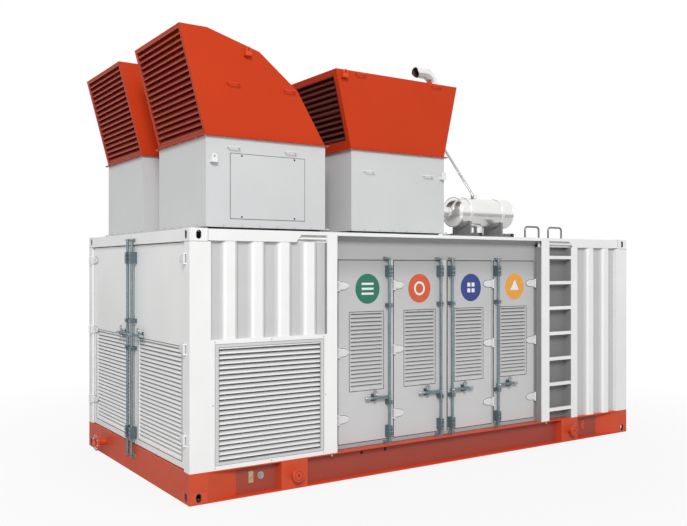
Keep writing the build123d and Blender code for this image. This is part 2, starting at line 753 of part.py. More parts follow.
def lock_rod(x, low, high, handle_up):
    """Lock rod with a cam at each end and the handle lying along the leaf."""
    rod = Pos(x, -ROD_OFF, (low + high) / 2) * Cylinder(ROD_R, high - low)
    for z in (low + CAM_T / 2, high - CAM_T / 2):
        rod += local_block(x - CAM_L, x, -ROD_OFF - CAM_W / 2, -ROD_OFF + CAM_W / 2,
                           z - CAM_T / 2, z + CAM_T / 2)
    rod += Pos(x, -ROD_OFF, handle_up) * Cylinder(HANDLE_HUB_R, HANDLE_H)
    rod += local_block(x - HANDLE_L, x, -ROD_OFF - HANDLE_T / 2, -ROD_OFF + HANDLE_T / 2,
                       handle_up - HANDLE_H / 2, handle_up + HANDLE_H / 2)
    return rod


def rod_keeper(x, z, back, outer_side):
    """Fixed fork round the cam's path: a back plate, a long ear past the rod's end, a short one."""
    x0, x1 = x - CAM_L - CAM_CLEAR, x + ROD_R + CAM_CLEAR
    gap = CAM_T / 2 + CAM_CLEAR
    keeper = local_block(x0, x1, back - KEEPER_T, back, z - gap, z + gap)
    reaches = {outer_side: ROD_OFF + CAM_W / 2, -outer_side: ROD_OFF - ROD_R - CAM_CLEAR}
    for side, reach in reaches.items():
        mid = z + side * (gap + KEEPER_T / 2)
        keeper += local_block(x0, x1, -reach, back, mid - KEEPER_T / 2, mid + KEEPER_T / 2)
    return keeper


def side_place(shape, hinge, opens_left):
    """Puts a leaf's piece in the near door bay: hinged on its left edge, or mirrored."""
    turned = shape if opens_left else mirrored_x(shape)
    return Pos(X0 + hinge, Y0 + RECESS, SIDE_DOOR_Z0) * turned


def end_place(shape, far):
    """Puts a leaf's piece in the door end, hinged at the far or the near corner post."""
    turned = Rot(0, 0, -90) * shape
    moved = Pos(X0 + END_INSET, -Y0 - POST_W - DOOR_GAP, END_DOOR_Z0) * turned
    return moved if far else mirrored_y(moved)


def side_rod_ends():
    """Heights of a side rod's two ends above the leaf's bottom, inside the keepers."""
    low = BASE_H - SIDE_DOOR_Z0 + KEEPER_T + CAM_CLEAR + KEEPER_STANDOFF
    high = SIDE_DOOR_H + DOOR_GAP + KEEPER_T + CAM_CLEAR + CAM_T + KEEPER_STANDOFF
    return low, high


def end_rod_ends():
    """Heights of an end rod's two ends: the cams lie over the skid beam and the top rail."""
    return -END_CAM_DROP, END_DOOR_H + END_CAM_RISE


def side_hinges():
    """Heights of a service door's hinges above its bottom edge."""
    low, high = SIDE_HINGE_FROM_ENDS[0], SIDE_DOOR_H - SIDE_HINGE_FROM_ENDS[1]
    return [low, (low + high) / 2, high]


def end_hinges():
    return [END_HINGE_FROM_ENDS[0], END_HINGE_RISE, END_DOOR_H - END_HINGE_FROM_ENDS[1]]


def rod_guides(up, down, height):
    """Heights of a rod's guides above the leaf's bottom, tall at both ends and small between."""
    places = list(up) + [height - z for z in down]
    sizes = [GUIDE_TALL] + [GUIDE_SMALL] * (len(places) - 2) + [GUIDE_TALL]
    return list(zip(places, sizes))


def side_door(width, hinge_margin, free_margin):
    louvre_w = width - hinge_margin - free_margin
    leaf = door_leaf(width, SIDE_DOOR_H, hinge_margin, DOOR_LOUVRE_FROM_BOTTOM, louvre_w, DOOR_LOUVRE_H)
    rod_x = width - ROD_INSET
    guides = rod_guides(SIDE_GUIDES_UP, SIDE_GUIDES_DOWN, SIDE_DOOR_H)
    hardware = door_hardware(rod_x, SIDE_PIN_OVER, SIDE_PIN_PROUD, side_hinges(), guides, SIDE_HANDLE_UP)
    return leaf, hardware, lock_rod(rod_x, *side_rod_ends(), SIDE_HANDLE_UP)


def end_door():
    louvre_w = END_DOOR_W - END_LOUVRE_MARGIN - END_LOUVRE_FREE
    leaf = door_leaf(END_DOOR_W, END_DOOR_H, END_LOUVRE_MARGIN, END_LOUVRE_FROM_BOTTOM, louvre_w, END_LOUVRE_H)
    guides = rod_guides(END_GUIDES_UP, (END_GUIDE_DOWN,), END_DOOR_H)
    hardware = door_hardware(END_ROD_X, END_PIN_OVER, END_PIN_PROUD, end_hinges(), guides, END_HANDLE_UP)
    return leaf, hardware, lock_rod(END_ROD_X, *end_rod_ends(), END_HANDLE_UP)


def door_fixings(rod_x, over, proud, hinge_heights, rod_ends, back):
    """Hinge ears and rod keepers that stay on the frame around a door."""
    low, high = rod_ends
    lugs = [hinge_lug(over, proud, z, back) for z in hinge_heights]
    keepers = [rod_keeper(rod_x, low + CAM_T / 2, back, -1), rod_keeper(rod_x, high - CAM_T / 2, back, 1)]
    return lugs, keepers


def side_door_layout():
    """Width, hinge place, handing and louvre margins of the service doors, from the door end."""
    margins = zip(LOUVRE_HINGE_MARGINS, LOUVRE_FREE_MARGINS)
    places = []
    for i, ((left, right), pair) in enumerate(zip(door_edges(), margins)):
        opens_left = i < len(DOOR_WIDTHS) / 2
        places.append((right - left, left if opens_left else right, opens_left, pair))
    return places


def make_doors(nodes):
    """All six hinged doors, the fixed ones of the far side, and what holds them."""
    lugs, keepers = [], []
    fixed_leaves, fixed_rods, fixed_hardware = [], [], []
    for i, (width, hinge, opens_left, margins) in enumerate(side_door_layout(), 1):
        leaf, hardware, rod = side_door(width, *margins)
        nodes[f"side_door_{i}_leaf"] = [side_place(leaf, hinge, opens_left)]
        nodes[f"side_door_{i}_hardware"] = [side_place(s, hinge, opens_left) for s in hardware]
        nodes[f"side_door_{i}_lock_rod"] = [side_place(rod, hinge, opens_left)]
        pair = door_fixings(width - ROD_INSET, SIDE_PIN_OVER, SIDE_PIN_PROUD, side_hinges(), side_rod_ends(),
                            BAY_POST_SET)
        lugs += [side_place(s, hinge, opens_left) for s in pair[0]]
        keepers += [side_place(s, hinge, opens_left) for s in pair[1]]
        fixed_leaves.append(mirrored_y(side_place(leaf, hinge, opens_left)))
        fixed_rods.append(mirrored_y(side_place(rod, hinge, opens_left)))
        fixed_hardware += [mirrored_y(side_place(s, hinge, opens_left)) for s in hardware]
    lugs = both_sides(lugs)
    keepers = both_sides(keepers)
    leaf, hardware, rod = end_door()
    pair = door_fixings(END_ROD_X, END_PIN_OVER, END_PIN_PROUD, end_hinges(), end_rod_ends(), -END_INSET)
    for name, far in (("near", False), ("far", True)):
        nodes[f"end_door_{name}_leaf"] = [end_place(leaf, far)]
        nodes[f"end_door_{name}_hardware"] = [end_place(s, far) for s in hardware]
        nodes[f"end_door_{name}_lock_rod"] = [end_place(rod, far)]
        lugs += [end_place(s, far) for s in pair[0]]
        keepers += [end_place(s, far) for s in pair[1]]
    nodes["hinge_lugs"] = lugs
    nodes["rod_keepers"] = keepers
    nodes["far_side_door_leaves"] = fixed_leaves
    nodes["far_side_door_hardware"] = fixed_hardware
    nodes["far_side_lock_rods"] = fixed_rods


# Roof hoods

def curb(u0, u1, v0, v1):
    """Upstand round a roof opening that a plenum's flange sits on."""
    inner = CURB_IN
    outer = CURB_IN - CURB_T
    ring = block(u0 + outer, u1 - outer, v0 + outer, v1 - outer, ROOF_Z, PLENUM_Z - HOOD_FLANGE_T)
    return ring - block(u0 + inner, u1 - inner, v0 + inner, v1 - inner, ROOF_Z, PLENUM_Z)


def plenum(u0, u1, v0, v1):
    """Sheet box open above and below, with a flange that lies on the curb."""
    t = HOOD_SHEET
    inner = CURB_IN
    out = FLANGE_OUT
    box = block(u0, u1, v0, v1, PLENUM_Z, COWL_Z)
    box -= block(u0 + t, u1 - t, v0 + t, v1 - t, PLENUM_Z, COWL_Z)
    flange = block(u0 - out, u1 + out, v0 - out, v1 + out, PLENUM_Z - HOOD_FLANGE_T, PLENUM_Z)
    flange -= block(u0 + inner, u1 - inner, v0 + inner, v1 - inner, PLENUM_Z - HOOD_FLANGE_T, PLENUM_Z)
    return box + flange


def cowl(points, openings, v0, v1):
    """Sheet cowl of a profile in side view, open below and on its louvred faces."""
    t = HOOD_SHEET
    face = make_face(Polyline(*points, close=True))
    plane = Plane(origin=(X0, Y0 + v0, COWL_Z), x_dir=(1, 0, 0), z_dir=(0, -1, 0))
    width = v1 - v0
    body = extrude(plane * face, amount=-width)
    inner_face = offset(face, amount=-t)
    body -= extrude(plane.offset(-t) * inner_face, amount=-(width - 2 * t))
    u_low = [p[0] for p in points if p[1] == 0]
    u0, u1 = min(u_low), max(u_low)
    body -= block(u0 + t * 1.5, u1 - t * 1.5, v0 + t, v1 - t, COWL_Z - t, COWL_Z + 2 * t)
    flange = block(u0 - FLANGE_OUT, u1 + FLANGE_OUT, v0 - FLANGE_OUT, v1 + FLANGE_OUT, COWL_Z, COWL_Z + HOOD_FLANGE_T)
    body += flange - block(u0 + 1, u1 - 1, v0 + 1, v1 - 1, COWL_Z, COWL_Z + HOOD_FLANGE_T)
    for opening in openings:
        body -= opening
    return body


def face_place(low, high, v_mid):
    """Frame of a leaning louvred face: x across the hood, y inward, z up the face."""
    run = high[0] - low[0]
    rise = high[1] - low[1]
    origin = (X0 + low[0], Y0 + v_mid, COWL_Z + low[1])
    side = -1.0 if run < 0 else 1.0
    return Plane(origin=origin, x_dir=(0, side, 0), z_dir=(run, 0, rise))


def face_louvre(low, high, v0, v1, border, foot_border):
    """Louvre for a leaning face and the opening it fills, both in place."""
    length = math.hypot(high[0] - low[0], high[1] - low[1]) - border - foot_border
    width = v1 - v0 - 2 * border
    plane = face_place(low, high, (v0 + v1) / 2)
    bank = louvre(width, length, COWL_LOUVRE_D, COWL_BAR, COWL_PITCH)
    hole = local_block(-width / 2, width / 2, -COWL_BORDER, COWL_LOUVRE_D, 0, length)
    lift = Pos(0, 0, foot_border)
    return plane.location * lift * bank, plane.location * lift * hole


def side_cowl_profile():
    """Outline of the near and far cowls: a face leaning out over the end and a broken back."""
    u0 = HOOD_FROM_END
    return [(u0, 0.0), (u0 - COWL_LEAN, COWL_FACE_H), (u0 - COWL_LEAN + COWL_TOP_L, COWL_FACE_H),
            (u0 + COWL_BREAK_1_RUN, COWL_BREAK_1_RISE), (u0 + COWL_BREAK_2_RUN, COWL_BREAK_2_RISE),
            (u0 + HOOD_L, 0.0)]


def centre_cowl_profile():
    """Outline of the centre cowl, flared to both ends."""
    u0 = CENTRE_FROM_END
    u1 = u0 + CENTRE_L
    return [(u0, 0.0), (u0 - CENTRE_LEAN, CENTRE_COWL_H), (u1 + CENTRE_LEAN, CENTRE_COWL_H), (u1, 0.0)]


def lifting_lug(lug_plane):
    """Eye plate on a foot, standing off a hood's side sheet."""
    foot = extrude(lug_plane * Rectangle(LUG_FOOT_W, LUG_FOOT_H), amount=LUG_REACH)
    eye = lug_plane.offset(LUG_REACH - LUG_PLATE_T)
    lift = Pos(0, LUG_FOOT_H / 2 + LUG_R * 0.7)
    plate = extrude(eye * lift * Circle(LUG_R), amount=LUG_PLATE_T)
    plate += extrude(eye * Pos(0, LUG_FOOT_H / 2) * Rectangle(LUG_R * 2, LUG_R * 1.4), amount=LUG_PLATE_T)
    return foot + plate - extrude(eye * lift * Circle(LUG_HOLE_R), amount=LUG_PLATE_T)


def grip(grip_plane):
    """Bent eight-sided bar handle on a hood's side sheet."""
    half = GRIP_L / 2
    points = [(-half, 0, 0), (-half, 0, GRIP_REACH), (half, 0, GRIP_REACH), (half, 0, 0)]
    path = grip_plane.location * FilletPolyline(*points, radius=GRIP_BEND)
    section = Plane(origin=path @ 0, z_dir=path % 0) * RegularPolygon(GRIP_R, GRIP_SIDES)
    return sweep(section, path=path)


def hood_side_plane(u, z, v):
    return Plane(origin=(X0 + u, Y0 + v, z), x_dir=(1, 0, 0), z_dir=(0, -1, 0))


def hood_fittings():
    """Lugs and grips on the near face of the near and centre hoods, mirrored to the far side."""
    v = HOOD_FROM_SIDE
    u = HOOD_FROM_END
    c = CENTRE_FROM_END
    lugs = [(u + NEAR_LUG_RUN, COWL_Z - LUG_DROP), (u + NEAR_HIGH_LUG_RUN, COWL_Z + NEAR_HIGH_LUG_RISE),
            (c + CENTRE_L - CENTRE_LUG_SET, COWL_Z - LUG_DROP),
            (c - CENTRE_HIGH_LUG_OUT, COWL_Z + CENTRE_HIGH_LUG_RISE)]
    rows = [(u + NEAR_GRIP_RUN, NEAR_GRIP_APART, COWL_Z - NEAR_GRIP_DROP),
            (u + NEAR_GRIP_RUN, NEAR_HIGH_GRIP_APART, COWL_Z + NEAR_GRIP_RISE),
            (c + CENTRE_GRIP_RUN, CENTRE_GRIP_APART, COWL_Z - CENTRE_GRIP_DROP),
            (c + CENTRE_HIGH_GRIP_RUN, CENTRE_HIGH_GRIP_APART, COWL_Z + CENTRE_HIGH_GRIP_RISE)]
    grips = [(a + b, z) for a, apart, z in rows for b in (0, apart)]
    solids = [lifting_lug(hood_side_plane(a, z, v)) for a, z in lugs]
    solids += [grip(hood_side_plane(a, z, v)) for a, z in grips]
    return both_sides(solids)


def make_hoods(nodes):
    spans = hood_spans()
    nodes["hood_curbs"] = [curb(*span) for span in spans.values()]
    louvres = []
    for name, (u0, u1, v0, v1) in spans.items():
        nodes[f"plenum_{name}"] = [plenum(u0, u1, v0, v1)]
        if name == "centre":
            profile = centre_cowl_profile()
            faces = [(profile[0], profile[1]), (profile[3], profile[2])]
            borders = (CENTRE_BORDER, CENTRE_FOOT_BORDER)
        else:
            profile = side_cowl_profile()
            faces = [(profile[0], profile[1])]
            borders = (COWL_BORDER, COWL_BORDER)
        pairs = [face_louvre(low, high, v0, v1, *borders) for low, high in faces]
        nodes[f"cowl_{name}"] = [cowl(profile, [p[1] for p in pairs], v0, v1)]
        louvres += [p[0] for p in pairs]
    nodes["cowl_louvres"] = louvres
    nodes["hood_lugs_and_grips"] = hood_fittings()


# Exhaust silencer, stack and their carriers

def vessel(radius, start, length, dish):
    """Cylinder with shallow dished ends along X, about the silencer's axis."""
    ball = (radius ** 2 + dish ** 2) / (2 * dish)
    half = length / 2
    side = Line((radius, -half), (radius, half))
    top = RadiusArc((radius, half), (0, half + dish), -ball)
    axis = Line((0, half + dish), (0, -half - dish))
    bottom = RadiusArc((0, -half - dish), (radius, -half), -ball)
    face = make_face(Curve() + [side, top, axis, bottom])
    turned = revolve(Plane.XZ * face, axis=Axis.Z)
    return Pos(X0 + start + half, Y0 + SILENCER_FROM_SIDE, SILENCER_Z) * Rot(0, 90, 0) * turned


def outlet_path():
    """Centre line from the silencer's end, up the stack and over to the outlet."""
    y = Y0 + SILENCER_FROM_SIDE
    x = X0 + STACK_FROM_END
    start = X0 + SILENCER_START - SILENCER_DISH * 0.8
    return [(start, y, SILENCER_Z), (x, y, SILENCER_Z), (x, y, OUTLET_Z), (x - OUTLET_REACH, y, OUTLET_Z)]


def exhaust_stack():
    """Tube bent out of the silencer, up and over, its outlet cut on a slant."""
    path = FilletPolyline(*outlet_path(), radius=STACK_BEND)
    section = Plane(origin=path @ 0, z_dir=path % 0) * (Circle(PIPE_R) - Circle(PIPE_R - PIPE_WALL))
    tube = sweep(section, path=path)
    tube -= vessel(SILENCER_R, SILENCER_START, SILENCER_L, SILENCER_DISH)
    x, y, z = outlet_path()[-1]
    knife = Pos(x, y, z) * Rot(0, -OUTLET_SLANT, 0) * Pos(-PIPE_R * 2, 0, 0) * Box(PIPE_R * 4, PIPE_R * 6, PIPE_R * 6)
    return tube - knife


def silencer_shell():
    outer = vessel(SILENCER_R, SILENCER_START, SILENCER_L, SILENCER_DISH)
    inner = vessel(SILENCER_R - SILENCER_SHEET, SILENCER_START, SILENCER_L, SILENCER_DISH - SILENCER_SHEET)
    bore = Plane(origin=outlet_path()[0], z_dir=(1, 0, 0))
    return outer - inner - extrude(bore * Circle(PIPE_R - PIPE_WALL), amount=SILENCER_DISH, both=True)


def exhaust_riser():
    """Pipe up through the roof into the silencer's underside, with a roof flange."""
    base = Plane(origin=(X0 + RISER_FROM_END, Y0 + SILENCER_FROM_SIDE, ROOF_Z))
    height = SILENCER_Z - ROOF_Z
    pipe = extrude(base * Circle(PIPE_R), amount=height)
    flange = extrude(base * Circle(RISER_FLANGE_R), amount=RISER_FLANGE_T)
    riser = pipe + flange
    riser -= extrude(base * Circle(PIPE_R - PIPE_WALL), amount=height)
    return riser - vessel(SILENCER_R, SILENCER_START, SILENCER_L, SILENCER_DISH)


def silencer_cradles():
    """Cross beams on the roof, saddles and the strap bands round the silencer."""
    axis_y = Y0 + SILENCER_FROM_SIDE
    v0 = SILENCER_FROM_SIDE - CRADLE_L / 2
    beam_top = ROOF_Z + CRADLE_W
    hole = Pos(0, axis_y, SILENCER_Z) * Rot(0, 90, 0) * Cylinder(SILENCER_R + BAND_CLEAR, LENGTH * 2)
    pieces = []
    for u in CRADLES_FROM_END:
        beam = tube_block(u - CRADLE_W / 2, u + CRADLE_W / 2, v0, v0 + CRADLE_L, ROOF_Z, beam_top, CRADLE_WALL, "v")
        saddle = block(u - SADDLE_T / 2, u + SADDLE_T / 2, SILENCER_FROM_SIDE - SADDLE_L / 2,
                       SILENCER_FROM_SIDE + SADDLE_L / 2, beam_top, SILENCER_Z - SILENCER_R * 0.6)
        place = Pos(X0 + u, axis_y, SILENCER_Z) * Rot(0, 90, 0)
        band = place * (Cylinder(SILENCER_R + BAND_CLEAR + STRAP_BAND_T, STRAP_BAND_W))
        pieces.append(beam + saddle + band - hole)
    return pieces


def stack_brace():
    """Inclined tube from a foot on the silencer up to a collar on the stack."""
    y = Y0 + SILENCER_FROM_SIDE
    foot_x = X0 + BRACE_FOOT_FROM_END
    foot_z = SILENCER_Z + SILENCER_R + BRACE_FOOT_H / 2
    head_x = X0 + STACK_FROM_END
    run = Vector(head_x + PIPE_R - foot_x, 0, BRACE_HEAD_Z - foot_z)
    tube = extrude(Plane(origin=(foot_x, y, foot_z), z_dir=run) * Circle(BRACE_R), amount=run.length)
    collar = Pos(head_x, y, BRACE_HEAD_Z) * Cylinder(PIPE_R + BAND_CLEAR + COLLAR_T, COLLAR_H)
    foot = Pos(foot_x, y, foot_z) * Box(BRACE_R * 3, BRACE_R * 3, BRACE_FOOT_H)
    bore = Pos(head_x, y, BRACE_HEAD_Z) * Cylinder(PIPE_R + BAND_CLEAR, COLLAR_H * 6)
    solid = tube + collar + foot - bore
    return solid - vessel(SILENCER_R, SILENCER_START, SILENCER_L, SILENCER_DISH)


def grab_hoops():
    """Bent tube hoops on the roof edge above the ladder."""
    hoops = []
    half = HOOP_W / 2
    for u in HOOPS_FROM_REAR:
        x = X0 + LENGTH - u
        y = Y0 + HOOP_FROM_SIDE
        points = [(x - half, y, ROOF_Z), (x - half, y, ROOF_Z + HOOP_H),
                  (x + half, y, ROOF_Z + HOOP_H), (x + half, y, ROOF_Z)]
        path = FilletPolyline(*points, radius=HOOP_BEND)
        hoops.append(sweep(Plane(origin=path @ 0, z_dir=path % 0) * Circle(HOOP_R), path=path))
    return hoops


def make_all():
    """Every node of the generator, by name."""
    nodes = {
        "bottom_castings": bottom_castings(),
        "top_castings": top_castings(),
        "base_side_beams": both_sides([side_beam()]),
        "base_corners": base_corners(),
        "lifting_blocks": four_corners(lifting_block()),
        "base_end_beams": [base_end_beam(), mirrored_x(base_end_beam())],
        "floor_bearers": floor_bearers(),
        "floor_deck": floor_deck(),
        "gas_inlet": gas_inlet(),
        "corner_posts": corner_posts(),
        "side_posts": side_posts(),
        "top_side_rails": both_sides([top_side_rail()]),
        "top_end_rails": [top_end_rail(), mirrored_x(top_end_rail())],
        "roof_panel": roof_panel(),
        "roof_bows": roof_bows(),
        "side_wall_panels": side_wall_panels(),
        "rear_wall": rear_wall(),
        "side_louvres": side_louvres(),
        "bay_headers_and_sills": bay_headers(),
        "bay_posts": bay_posts(),
        "ladder_rungs": ladder_rungs(),
        "ladder_backs": ladder_backs(),
        "silencer_shell": [silencer_shell()],
        "silencer_cradles": silencer_cradles(),
        "exhaust_riser": [exhaust_riser()],
        "exhaust_stack": [exhaust_stack()],
        "stack_brace": [stack_brace()],
        "grab_hoops": grab_hoops(),
    }
    make_doors(nodes)
    make_hoods(nodes)
    return nodes


def solids_of(shapes):
    """The plain solids in a list of shapes."""
    return [solid for shape in shapes for solid in shape.solids()]


os.makedirs("parts", exist_ok=True)
for node_name, shapes in make_all().items():
    export_step(Compound(children=solids_of(shapes)), f"parts/{node_name}.step")
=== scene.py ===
import bpy
import bmesh
import math
from mathutils import Matrix, Vector, noise

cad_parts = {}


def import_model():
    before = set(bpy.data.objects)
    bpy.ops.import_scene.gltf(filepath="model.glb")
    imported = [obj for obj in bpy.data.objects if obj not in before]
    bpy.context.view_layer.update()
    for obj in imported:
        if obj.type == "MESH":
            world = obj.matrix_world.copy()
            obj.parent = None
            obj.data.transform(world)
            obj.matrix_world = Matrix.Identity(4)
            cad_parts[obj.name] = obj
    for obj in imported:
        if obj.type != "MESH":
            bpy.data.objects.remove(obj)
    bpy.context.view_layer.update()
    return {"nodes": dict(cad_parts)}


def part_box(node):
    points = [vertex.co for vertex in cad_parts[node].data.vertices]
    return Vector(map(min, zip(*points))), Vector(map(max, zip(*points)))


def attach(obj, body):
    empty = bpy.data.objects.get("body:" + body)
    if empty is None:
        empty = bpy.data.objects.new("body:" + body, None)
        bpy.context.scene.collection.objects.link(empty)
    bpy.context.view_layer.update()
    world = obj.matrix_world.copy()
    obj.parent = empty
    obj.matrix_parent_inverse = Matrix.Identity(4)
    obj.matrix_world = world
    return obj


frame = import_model()
nodes = frame["nodes"]

# Containerised gas generating set, in metres, +Z up. The door end faces -X and the long side
# with the hinged service doors faces -Y.

# Camera, solved from the photograph
PHOTO_W = 687.0
FOCAL_PX = 792.975
CENTRE_PX = 292.0
HORIZON_PX = 267.3
PHOTO_H = 526.0
CAMERA_AT = (-5.9056, -7.7686, 2.08915)
CAMERA_AIM = (0.52590, 0.85055)
SENSOR = 36.0

# Sizes shared with the solids
LENGTH = 6.058
WIDTH = 2.832
HEIGHT = 2.438
BASE_H = 0.280
CASTING = (0.178, 0.162, 0.118)
CASTING_SKIN = 0.0255
X0 = -LENGTH / 2
Y0 = -WIDTH / 2
RECESS_Y = Y0 + 0.101
END_X = X0 + 0.024
WEB_Y = Y0 + 0.080
HINGE_Z = (0.571, 1.237, 1.903)
END_HINGE_Z = (0.560, 1.365, 2.168)
STRAP_HALF_H = 0.0395
STRAP_START = 0.0075
STRAP_STRAIGHT = 0.046
STRAP_MIDDLE = 0.062
STRAP_NOSE = 0.086
STRAP_SCREWS = ((0.030, 0.020), (0.030, -0.020), (0.108, 0.0))
CAP = (0.0115, 0.0040)
THIN_CAP = (0.0064, 0.0004)
PAD_GROW = 0.0040
PAD_T = 0.0015
BAY_END_STRIP = 4.466
SIDE_ROD_INSET = 0.027
END_ROD_INSET = 0.055
ROD_PROUD = 0.050
HUB_R = 0.024
GUIDE_PROUD = 0.0725
HANDLE_L = 0.300
CATCH_FROM_ROD = 0.185
CATCH_PROUD = 0.056
SIDE_HANDLE_UP = 0.440
END_HANDLE_UP = 1.120
SIDE_GUIDES_UP = (0.082, 0.382)
SIDE_GUIDES_DOWN = (0.462, 0.110)
END_GUIDES_UP = (0.120, 0.980, 1.260)
END_GUIDES_DOWN = (0.128,)
POST_L = 0.207
LOUVRE_END = 1.453
LOUVRE_TOP = 1.442
LOUVRE_BAR = 0.040
BEAM_D = 0.080
WEB_T = 0.008
DRAINS_FROM_END = (1.927, 2.227)
DRAIN_Z = 0.222
TRUNNION_FROM_END = 1.082
TRUNNION_OUT = 0.074
PLENUM_Z = 2.460
COWL_Z = 3.275
ROOF_Z = 2.432
FLANGE_OUT = 0.032
SILENCER_Y = Y0 + 0.650
SILENCER_Z = 2.744
SILENCER_R = 0.176
SILENCER_SEAMS = (3.700, 4.530)
CRADLES_FROM_END = (3.846, 4.362)
CRADLE_BOLT_OUT = 0.165
CRADLE_H = 0.060
RISER_FROM_END = 4.104
RISER_BOLT_R = 0.098
RISER_FLANGE_T = 0.014
STACK_FROM_END = 3.386
OUTLET_Z = 4.330
SOOT_FROM_STACK = 0.225
SOOT_R = 0.0555
SOOT_DEPTH = 0.14
GAS_FROM_SIDE = 2.270
GAS_Z = 0.150
GAS_BOLT_R = 0.0725
GAS_FLANGE_FACES = (0.085, 0.105)
PLENUM_FROM_SIDE = 0.093
COVER_T = 0.003
COVER = (0.449, 1.250, 2.535, 3.129)
COVER_JOINT = (0.447, 1.252, 2.533, 3.131)
COVER_SCREWS_U = (0.565, 1.135)
COVER_SCREWS_Z = (2.551, 3.113)
END_LOUVRE_MARGINS = (0.090, 0.110)
END_LOUVRE_UP = (0.062, 1.092)
DOOR_LOUVRE_W = 0.435
DOOR_LOUVRE_UP = (0.516, 1.316)
DOOR_LOUVRE_MARGINS = (0.067, 0.100)
DOOR_LOUVRE_BAR = 0.016

# Depths behind a louvre's face over which painted shade darkens its blades, and where the shading ends
BLADE_SHADE_RAMP = (0.006, 0.030)
BLADE_SHADE_SPAN = (0.005, 0.060)

# The two long sides, and the turns of a ring of eight bolts
SIDES = ((-1, "near"), (1, "far"))
EIGHT_BOLTS = [math.pi / 8 + i * math.pi / 4 for i in range(8)]

# Colours as linear values
WHITE = (0.84, 0.84, 0.835)
PALE_GREY = (0.585, 0.59, 0.595)
# Painted shade: side door leaves and bay posts are the white shell paint darkened to stand for the shade in
# the door bay
DOOR_SHADE_GREY = (0.575, 0.575, 0.578)
HEADER_SHADE_GREY = (0.40, 0.40, 0.403)
TROUGH_SHADE_GREY = (0.54, 0.54, 0.545)
REVEAL_SHADE_GREY = (0.25, 0.25, 0.253)
SEAM_GREY = (0.42, 0.42, 0.423)
STRIP_SHADOW_GREY = (0.36, 0.36, 0.363)
FITTING_WHITE = (0.78, 0.785, 0.79)
STRAP_WHITE = (0.70, 0.70, 0.703)
FRAME_SHADE_GREY = (0.60, 0.60, 0.603)
SIDE_BLADE_SHADE = (0.46, 0.46, 0.465)
SKID_RED = (0.60, 0.074, 0.024)
WEB_SHADE_RED = (0.33, 0.052, 0.032)
FLANGE_RED = (0.66, 0.060, 0.012)
HOOD_ORANGE = (0.53, 0.040, 0.005)
ZINC = (0.225, 0.305, 0.335)
GUIDE_ZINC = (0.125, 0.175, 0.200)
SILVER = (0.90, 0.90, 0.89)
TUBE_GREY = (0.22, 0.22, 0.22)
DECK = (0.10, 0.105, 0.11)
LADDER_BACK_SHADE_GREY = (0.200, 0.200, 0.203)
CURB_SHADOW_BLACK = (0.030, 0.030, 0.031)
CRADLE_GREY = (0.26, 0.26, 0.265)
BLADE_SHADE = (0.34, 0.34, 0.345)
BLADE_RED = (0.34, 0.030, 0.008)
CENTRE_BLADE_SHADOW = (0.085, 0.011, 0.006)
# Soot in the exhaust outlet, also painted shade in the casting cavities and behind the drain holes
SOOT_AND_SHADE = (0.012, 0.012, 0.012)
HOLE_SHADE_GREY = (0.055, 0.055, 0.056)
RUBBER = (0.018, 0.018, 0.019)


# Materials

class Nodes:
    """A short way to add and link shader nodes."""

    def __init__(self, name):
        self.material = bpy.data.materials.new(name)
        self.material.use_nodes = True
        self.tree = self.material.node_tree
        self.bsdf = self.tree.nodes["Principled BSDF"]
        self.coords = self.add("ShaderNodeTexCoord").outputs["Object"]

    def add(self, kind, **settings):
        node = self.tree.nodes.new(kind)
        for key, value in settings.items():
            if key in node.inputs:
                node.inputs[key].default_value = value
            else:
                setattr(node, key, value)
        return node

    def link(self, a, b):
        self.tree.links.new(a, b)

    def scaled(self, stretch):
        mapping = self.add("ShaderNodeMapping")
        mapping.inputs["Scale"].default_value = stretch
        self.link(self.coords, mapping.inputs["Vector"])
        return mapping.outputs["Vector"]

    def noise(self, scale, detail=3.0, stretch=(1, 1, 1)):
        node = self.add("ShaderNodeTexNoise", Scale=scale, Detail=detail)
        self.link(self.scaled(stretch), node.inputs["Vector"])
        return node.outputs["Fac"]

    def ramp(self, value, low, high, start=0.35, end=0.65):
        node = self.add("ShaderNodeMapRange")
        for key, number in zip(("From Min", "From Max", "To Min", "To Max"), (start, end, low, high)):
            node.inputs[key].default_value = number
        self.link(value, node.inputs["Value"])
        return node.outputs["Result"]

    def mix(self, factor, a, b):
        node = self.add("ShaderNodeMix", data_type="RGBA")
        sockets = [s for s in node.inputs if s.type == "RGBA"]
        for socket, value in zip(sockets, (a, b)):
            if isinstance(value, tuple):
                socket.default_value = (*value, 1.0)
            else:
                self.link(value, socket)
        factor_socket = node.inputs["Factor"]
        if isinstance(factor, float):
            factor_socket.default_value = factor
        else:
            self.link(factor, factor_socket)
        return [s for s in node.outputs if s.type == "RGBA"][0]

    def constant(self, number):
        node = self.add("ShaderNodeValue")
        node.outputs[0].default_value = number
        return node.outputs[0]

    def product(self, *values):
        total = values[0]
        for value in values[1:]:
            node = self.add("ShaderNodeMath", operation="MULTIPLY")
            self.link(total, node.inputs[0])
            self.link(value, node.inputs[1])
            total = node.outputs[0]
        return total

    def along(self, axis, mirrored=False):
        """Object coordinate on one axis, or its size without sign."""
        split = self.add("ShaderNodeSeparateXYZ")
        self.link(self.coords, split.inputs["Vector"])
        if not mirrored:
            return split.outputs[axis]
        size = self.add("ShaderNodeMath", operation="ABSOLUTE")
        self.link(split.outputs[axis], size.inputs[0])
        return size.outputs[0]

    def between(self, value, low, high):
        above = self.add("ShaderNodeMath", operation="GREATER_THAN")
        below = self.add("ShaderNodeMath", operation="LESS_THAN")
        for node, limit in ((above, low), (below, high)):
            self.link(value, node.inputs[0])
            node.inputs[1].default_value = limit
        return self.product(above.outputs[0], below.outputs[0])

    def bump(self, height, strength, distance):
        node = self.add("ShaderNodeBump", Strength=strength, Distance=distance)
        self.link(height, node.inputs["Height"])
        self.link(node.outputs["Normal"], self.bsdf.inputs["Normal"])


def shade(colour, factor):
    return tuple(min(1.0, c * factor) for c in colour)


